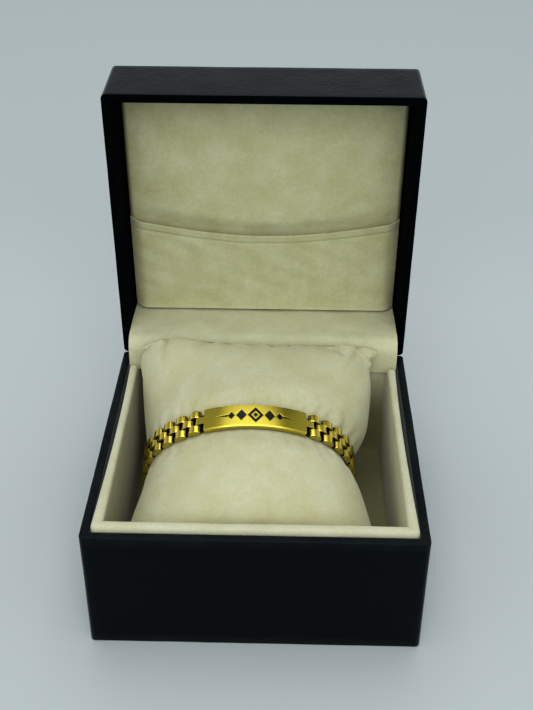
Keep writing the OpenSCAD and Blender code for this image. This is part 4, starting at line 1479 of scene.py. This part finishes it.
@dataclass
class Bracelet:
    """Nameplate, two chains of links that turn on pins, and a plain clasp."""

    loop: Loop
    band: float = 9 * MM
    plate_length: float = 34 * MM
    plate_top: float = 0.9 * MM
    bevel: float = 0.35 * MM
    slide: float = 2.9 * MM
    link_pitch: float = 5.3 * MM
    link_fill: float = 0.85
    link_top: float = 1.2 * MM
    link_low: float = 1.0 * MM
    dome_radius: float = 2.7 * MM
    link_edge: float = 0.28 * MM
    side_shade: float = 0.5
    pin_radius: float = 0.4 * MM
    gap: float = 0.12 * MM
    tab_reach: float = 2.4 * MM
    tab_inset: float = 0.1 * MM
    tab_end: float = 0.85 * MM
    clasp_length: float = 12 * MM
    engraved: float = 0.10 * MM
    fine_step: float = 0.085 * MM
    coarse_step: float = 0.6 * MM
    barrel_power: float = 6.0

    # Painted shade on a bar's four lower corners, in the order of its section
    BAR_SIDE_SHADE = (0.2, 0.7, 0.7, 0.2)
    # Lozenges of the ornament: place, half length and half width in millimetres
    LOZENGES = ((0, 2.6, 3.2), (4.6, 1.7, 2.3), (7.9, 1.15, 1.5))

    def __post_init__(self) -> None:
        """Works out the run of pins and the width of a column of links."""
        self.column = (self.band - 2 * self.gap) / 3
        self.first_pin = self.plate_length / 2 + self.tab_reach
        self.run = self.loop.arcs[-1] - self.first_pin - self.clasp_length / 2 - self.tab_reach
        self.pairs = int(round((2 * self.run / self.link_pitch + 1) / 2))
        self.pitch = self.run / (2 * self.pairs - 1)

    def ornament(self, s: np.ndarray, y: np.ndarray) -> np.ndarray:
        """Share of black filling at places on the plate: a row of lozenges between two points.

        A lozenge is where the sum of the two distances from its middle, each over its own half
        length, is below one. The middle one is hollow round a small kernel. Two long points
        taper away from the lozenges at the ends.

        Args:
            s: Distance along the plate from its middle.
            y: Distance across the plate from its middle.

        Returns:
            0 on gold to 1 in the engraving.
        """
        s, y = np.abs(s) / MM, np.abs(y) / MM
        soft, nowhere = 0.06, -1e9
        best = np.full(np.broadcast(s, y).shape, nowhere)
        for middle, long, wide in self.LOZENGES:
            away = np.abs(s - middle) / long + y / wide
            best = np.maximum(best, (1 - away) * min(long, wide) * 0.7)
        heart = (s / 1.45 + y / 1.8 - 1) * 0.9
        kernel = (1 - s / 0.8 - y / 1.0) * 0.5
        best = np.maximum(np.minimum(best, heart), kernel)
        tip = 0.42 * np.clip((13.0 - s) / 3.9, 0, 1) - y
        best = np.maximum(best, np.where(np.abs(s - 10.9) < 1.9, tip, nowhere))
        return smooth_step(best, -soft, soft)

    def tabbed_bar(self, radius: float, length: float, fine: bool) -> tuple[Skin, np.ndarray]:
        """Curved bar with bevelled upper edges and a round-ended tab at each end.

        The bar is a closed section carried along an arc. At a shoulder the section narrows to
        the tab's in two columns at one place, and past the pin the tab's height follows a circle
        about the pin.

        Args:
            radius: Radius of the line of pins.
            length: Length between the shoulders.
            fine: Whether the top is fine enough for the engraving.

        Returns:
            The skin, drawn from the top of the arc, and the share of black: the engraving's
            filling, and the painted shade on the sides, the shoulders and the tabs.
        """
        step = self.fine_step if fine else self.coarse_step
        half, reach = length / 2, length / 2 + self.tab_reach
        bar = np.linspace(-half, half, int(length / step))
        tab = np.linspace(half, reach, 8)
        tip = reach + self.tab_end * np.sin(quarter(8))[1:]
        beyond = np.concatenate([tab, tip])
        s = np.concatenate([-beyond[::-1], bar, beyond])
        on_tab = np.ones(len(s), bool)
        on_tab[len(beyond):-len(beyond)] = False
        over = np.clip(np.abs(s) - reach, 0, self.tab_end * 0.9999)
        fall = np.sqrt(1 - (over / self.tab_end) ** 2)
        top_count = int(self.band / step) if fine else 14
        bevel = self.bevel * np.where(on_tab, 0.4 * np.minimum(fall + 0.05, 1), 1)
        wide = np.where(on_tab, self.column / 2, self.band / 2)
        tab_half = (self.plate_top - self.tab_inset) * fall
        top = np.where(on_tab, tab_half, self.plate_top)
        low = np.where(on_tab, -tab_half, -self.link_low)
        face_y = np.linspace(-1, 1, top_count) * (wide - bevel)[:, None]
        edges_y = np.column_stack([wide, wide, -wide, -wide])
        edges_z = np.column_stack([top - bevel, low, low, top - bevel])
        y = np.concatenate([face_y, edges_y], 1)
        z = np.concatenate([np.broadcast_to(top[:, None], face_y.shape), edges_z], 1)
        ink = np.zeros_like(y)
        if fine:
            ink[:, :top_count] = self.ornament(s[:, None], face_y) * ~on_tab[:, None]
        z = z - ink * self.engraved
        # Painted shade on the bar's sides, its shoulders and its tabs
        shoulder = np.abs(np.abs(s) - half) < 0.01 * MM
        ink[:, -4:] = self.BAR_SIDE_SHADE
        ink[shoulder, -3:-1] = 1
        ink[on_tab, -4:] = 1
        turn = s[:, None] / radius
        grid = (z + radius) * np.sin(turn), y, (radius + z) * np.cos(turn) - radius
        return Skin.tube(np.stack(grid, -1)), with_ends(ink)

    def bar_piece(self, name: str, node: str, gold: Material, radius: float,
                  length: float, turn: float, centre: float, fine: bool) -> None:
        """Makes the nameplate or the clasp: a bar on an arc of the loop, slid along it.

        Args:
            name: Name of the piece.
            node: Node that it stands for.
            gold: Its finish.
            radius: Radius of the arc.
            length: Length between the shoulders.
            turn: Turn about the arc's centre, from the top, before the bar is slid.
            centre: Height of the arc's centre above the top of the loop.
            fine: Whether it carries the ornament.
        """
        skin, ink = self.tabbed_bar(radius, length, fine)
        cos, sin = np.cos(turn + self.slide / radius), np.sin(turn + self.slide / radius)
        x, y, z = (skin.points + [0, 0, radius]).T
        swung = np.stack([x * cos + z * sin, y, z * cos - x * sin], -1)
        skin.points = self.loop.settle(swung + [0, 0, centre])
        self.finish(name, skin, gold, node, 30.0, ink)

    def link_shape(self) -> tuple[Skin, np.ndarray, np.ndarray]:
        """One link: a barrel along the band with the same section right across its column.

        In side view the distance from the middle to the edge is the smaller of a superellipse's
        and the dome circle's. Its edges beside the neighbouring columns are rounded by a quarter
        circle, mostly in height.

        Returns:
            The skin, with X along the band and Y across it, the painted shade of each point at the
            link's ends, and whether the point lies on one of the two side faces.
        """
        half, high, low = self.pitch * self.link_fill, self.link_top, self.link_low
        turn = np.linspace(0, 2 * np.pi, 57)[:-1]
        cos, sin = np.cos(turn), np.sin(turn)
        tall, middle, power = (high + low) / 2, (high - low) / 2, self.barrel_power
        block = (np.abs(cos / half) ** power + np.abs(sin / tall) ** power) ** (-1 / power)
        centre = high - self.dome_radius - middle
        dome = centre * sin + np.sqrt(self.dome_radius**2 - (centre * cos) ** 2)
        edge = np.minimum(block, dome)
        outline = np.stack([edge * cos, edge * sin], -1)
        ahead = np.roll(outline, -1, 0) - np.roll(outline, 1, 0)
        normal = np.stack([ahead[:, 1], -ahead[:, 0]], -1) / np.linalg.norm(ahead, axis=1)[:, None]
        swing = quarter(5)
        soft, face = self.link_edge, self.column / 2
        inset = soft * (1 - np.cos(swing))
        across = face - soft + soft * np.sin(swing)
        rounded = outline[None] - inset[:, None, None] * normal[None] * [0.35, 1.0]
        half_rings = np.concatenate([rounded[:1], rounded, rounded[-1:] * [0.5, 0.45]])
        places = np.concatenate([[across[0] - 0.1 * MM], across, [face]])
        rings = np.concatenate([half_rings[::-1], half_rings])
        y = np.concatenate([-places[::-1], places])[:, None]
        grid = np.stack(np.broadcast_arrays(rings[..., 0], y, rings[..., 1] + middle), -1)
        # Painted shade at the link's ends, where it meets the next link
        ends = smooth_step(np.abs(grid[..., 0]), half * 0.90, half * 0.98)
        on_side = np.zeros(grid.shape[:2])
        on_side[:3], on_side[-3:] = 1, 1
        return Skin.tube(grid), with_ends(ends), with_ends(on_side, 1.0)

    def pin_shape(self) -> Skin:
        """One pin: a rod across the band with softly domed ends."""
        turn = np.linspace(0, 2 * np.pi, 15)[:-1]
        half = self.band / 2 - self.gap
        along = np.array([-half, -half + 0.1 * MM, half - 0.1 * MM, half])
        radius = self.pin_radius * np.array([0.75, 1, 1, 0.75])
        x, z = radius[:, None] * np.cos(turn), radius[:, None] * np.sin(turn)
        return Skin.tube(np.stack(np.broadcast_arrays(x, along[:, None], z), -1))

    def chain_piece(self, side: Side, gold: Material) -> None:
        """Makes one chain: outer pairs and middle links by turns, each on two of the pins.

        Args:
            side: Side of the plate.
            gold: Its finish.
        """
        count, label = 2 * self.pairs, side.name.lower()
        pins = self.slide + side.value * (self.first_pin + np.arange(count) * self.pitch)
        spots = self.loop.point(pins)
        middles = (spots[1:] + spots[:-1]) / 2
        steps = (spots[1:] - spots[:-1]) * side.value
        lean = np.arctan2(steps[:, 1], steps[:, 0])
        shape, dark, on_side = self.link_shape()
        offset = self.column + self.gap
        outer = np.arange(0, count - 1, 2)
        inner = np.arange(1, count - 1, 2)
        which = np.concatenate([outer, outer, inner])
        shift = np.concatenate([0.0 * outer - offset, 0.0 * outer + offset, 0.0 * inner])
        cos, sin = np.cos(lean[which])[:, None], np.sin(lean[which])[:, None]
        x, y, z = shape.points.T
        places = np.stack([middles[which, :1] + x * cos - z * sin, y + shift[:, None],
                           middles[which, 1:] + x * sin + z * cos], -1)
        links = Skin.many(shape, places)
        rod = self.pin_shape()
        rods = rod.points[None] + np.insert(spots, 1, 0, axis=1)[:, None]
        pinned = Skin.many(rod, rods)
        whole = Skin.joined([links, pinned])
        whole.points = self.loop.settle(whole.points)
        # Painted shade: sides facing the next column fully, the outer sides less, and the pins
        # black
        inward = np.abs(y + shift[:, None]) < self.band / 2 - 0.5 * MM
        recess = np.maximum(dark, on_side * np.where(inward, 1, self.side_shade)).ravel()
        recess = np.concatenate([recess, np.ones(len(pinned.points))])
        self.finish(f"{label}_chain_gold", whole, gold, f"chain_{label}", 35.0, recess, "recess")

    def finish(self, name: str, skin: Skin, gold: Material, node: str, sharp: float,
               values: np.ndarray, layer: str = "ink") -> None:
        """Makes a gold piece that stands for a CAD node.

        Args:
            name: Name of the piece.
            skin: Its skin in place.
            gold: Its finish.
            node: The node that it stands for.
            sharp: Edges that turn by more degrees than this are kept sharp.
            values: Darkness of each point.
            layer: Name under which the darkness is kept.
        """
        piece = skin.piece(name, sharp)
        paint_values(piece, layer, values)
        dress(piece, gold, Slot.GOLD, node, "root")

    def build(self, gold: Material, satin: Material) -> None:
        """Makes the plate, both chains and the clasp.

        Args:
            gold: Finish of the links and the clasp.
            satin: Finish of the plate.
        """
        loop = self.loop
        self.bar_piece("name_plate_gold", "name_plate", satin, loop.top_radius,
                       self.plate_length, 0.0, -loop.top_radius, True)
        depth = float(loop.drop(np.array(np.pi)))
        self.bar_piece("clasp_gold", "clasp", gold, loop.floor_radius, self.clasp_length, np.pi,
                       loop.floor_radius - depth, False)
        for side in Side:
            self.chain_piece(side, gold)


# The stage


@dataclass(frozen=True)
class Lamp:
    """Rectangular light that faces the box."""

    name: str
    place: Point
    size: tuple[float, float]
    power: float

    def build(self, target: Point) -> None:
        """Adds the light.

        Args:
            target: Point that it faces.
        """
        data = bpy.data.lights.new(self.name, "AREA")
        data.shape, data.energy = "RECTANGLE", self.power
        data.size, data.size_y = self.size
        light = link_object(self.name, data)
        light.location = self.place
        light.rotation_mode = "QUATERNION"
        away = Vector(self.place) - Vector(target)
        light.rotation_quaternion = away.to_track_quat("Z", "Y")


@dataclass(frozen=True)
class Studio:
    """Camera at the photograph's place, pale floor, and soft light from above and in front."""

    camera_place: Point = (0.007982, -0.279341, 0.260661)
    pitch_down: float = np.radians(33.3130)
    yaw: float = np.radians(-1.1686)
    roll: float = np.radians(0.2741)
    lens: float = 53.13
    sensor: float = 36.0
    floor_reach: float = 3.0
    floor_colours: tuple[Colour, Colour] = ((0.535, 0.595, 0.605), (0.565, 0.615, 0.625))
    backdrop_colour: Colour = (0.51, 0.565, 0.575)
    room_colour: Colour = (0.94, 0.98, 1.0)
    room_heights: tuple[float, float] = (-0.1, 0.8)
    room_strength: tuple[float, float] = (0.62, 0.27)
    aim: Point = (0.0, 0.0, 0.05)
    lamps: tuple[Lamp, ...] = (
        Lamp("ceiling_lamp", (0.0, -0.1, 2.2), (1.8, 4.2), 29.5),
        Lamp("front_lamp", (0.1, -2.2, 1.5), (2.0, 1.5), 18.0))

    def camera(self) -> None:
        """Makes the camera: its axes come from the pitch, the yaw and the roll."""
        cos, sin, down = np.cos, np.sin, self.pitch_down
        ahead = np.array([sin(self.yaw) * cos(down), cos(self.yaw) * cos(down), -sin(down)])
        right = np.array([cos(self.yaw), -sin(self.yaw), 0])
        up = np.cross(right, ahead)
        level = cos(self.roll) * right + sin(self.roll) * up
        upright = -sin(self.roll) * right + cos(self.roll) * up
        data = bpy.data.cameras.new("photo_camera")
        data.lens, data.sensor_width = self.lens, self.sensor
        data.clip_start, data.clip_end = 0.01, 20.0
        eye = link_object("photo_camera", data)
        turn = Matrix(np.column_stack([level, upright, -ahead]).tolist()).to_4x4()
        eye.matrix_world = Matrix.Translation(self.camera_place) @ turn
        bpy.context.scene.camera = eye

    def floor(self) -> None:
        """Makes the pale floor, which turns a shade darker far behind the box."""
        nodes = NodeTree("pale_floor")
        place = nodes.add("ShaderNodeTexCoord").outputs["Object"]
        far = nodes.add("ShaderNodeSeparateXYZ", {0: place}).outputs["Y"]
        shade = nodes.ramp(far, 0.16, 0.27, 0.0, 1.0)
        clouds = nodes.noise(place, 0.25, 1.0, 0.4)
        near = nodes.mix(clouds, *self.floor_colours)
        nodes.feed("Base Color", nodes.mix(shade, near, self.backdrop_colour))
        nodes.shade(Roughness=0.75, Specular_IOR_Level=0.2)
        reach = self.floor_reach
        mesh = bpy.data.meshes.new("pale_floor")
        corners = [(-reach, -reach, 0), (reach, -reach, 0), (reach, reach, 0), (-reach, reach, 0)]
        mesh.from_pydata(corners, [], [(0, 1, 2, 3)])
        mesh.materials.append(nodes.material)
        link_object("pale_floor", mesh)

    def room(self) -> None:
        """Lights the room by direction: the walls are brighter than the ceiling round the lamp."""
        world = bpy.data.worlds.new("soft_room")
        world.use_nodes = True
        tree = world.node_tree
        room = tree.nodes["Background"]
        room.inputs["Color"].default_value = (*self.room_colour, 1.0)
        place = tree.nodes.new("ShaderNodeTexCoord")
        axes = tree.nodes.new("ShaderNodeSeparateXYZ")
        up = tree.nodes.new("ShaderNodeMapRange")
        up.interpolation_type = "SMOOTHSTEP"
        for key, value in enumerate((*self.room_heights, *self.room_strength), 1):
            up.inputs[key].default_value = value
        tree.links.new(place.outputs["Generated"], axes.inputs[0])
        tree.links.new(axes.outputs["Z"], up.inputs[0])
        tree.links.new(up.outputs[0], room.inputs["Strength"])
        bpy.context.scene.world = world

    def lights(self) -> None:
        """Sets the room and the soft lamps."""
        self.room()
        for lamp in self.lamps:
            lamp.build(self.aim)
        bpy.context.scene.view_settings.view_transform = "Standard"
        bpy.context.scene.view_settings.look = "Medium High Contrast"

    def build(self) -> None:
        """Makes the camera, the floor and the lights."""
        self.camera()
        self.floor()
        self.lights()


def main() -> None:
    """Builds the stage, the box, the cushion and the bracelet, in that order."""
    logging.basicConfig(level=logging.INFO, format="%(name)s: %(message)s")
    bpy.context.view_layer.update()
    Studio().build()
    box = GiftBox(Hinge.from_frame())
    box.build(COVERING.material(), BOARD_INSIDE.material(), Brass().material())
    lining = VelvetLining(box)
    lining.build(COLLAR_VELVET.material(), LID_VELVET.material(), FLAP_VELVET.material())
    loop = Loop()
    Cushion(loop, lining).build(CUSHION_VELVET.material())
    Bracelet(loop).build(LINK_GOLD.material(), PLATE_GOLD.material())


if __name__ == "__main__":
    main()
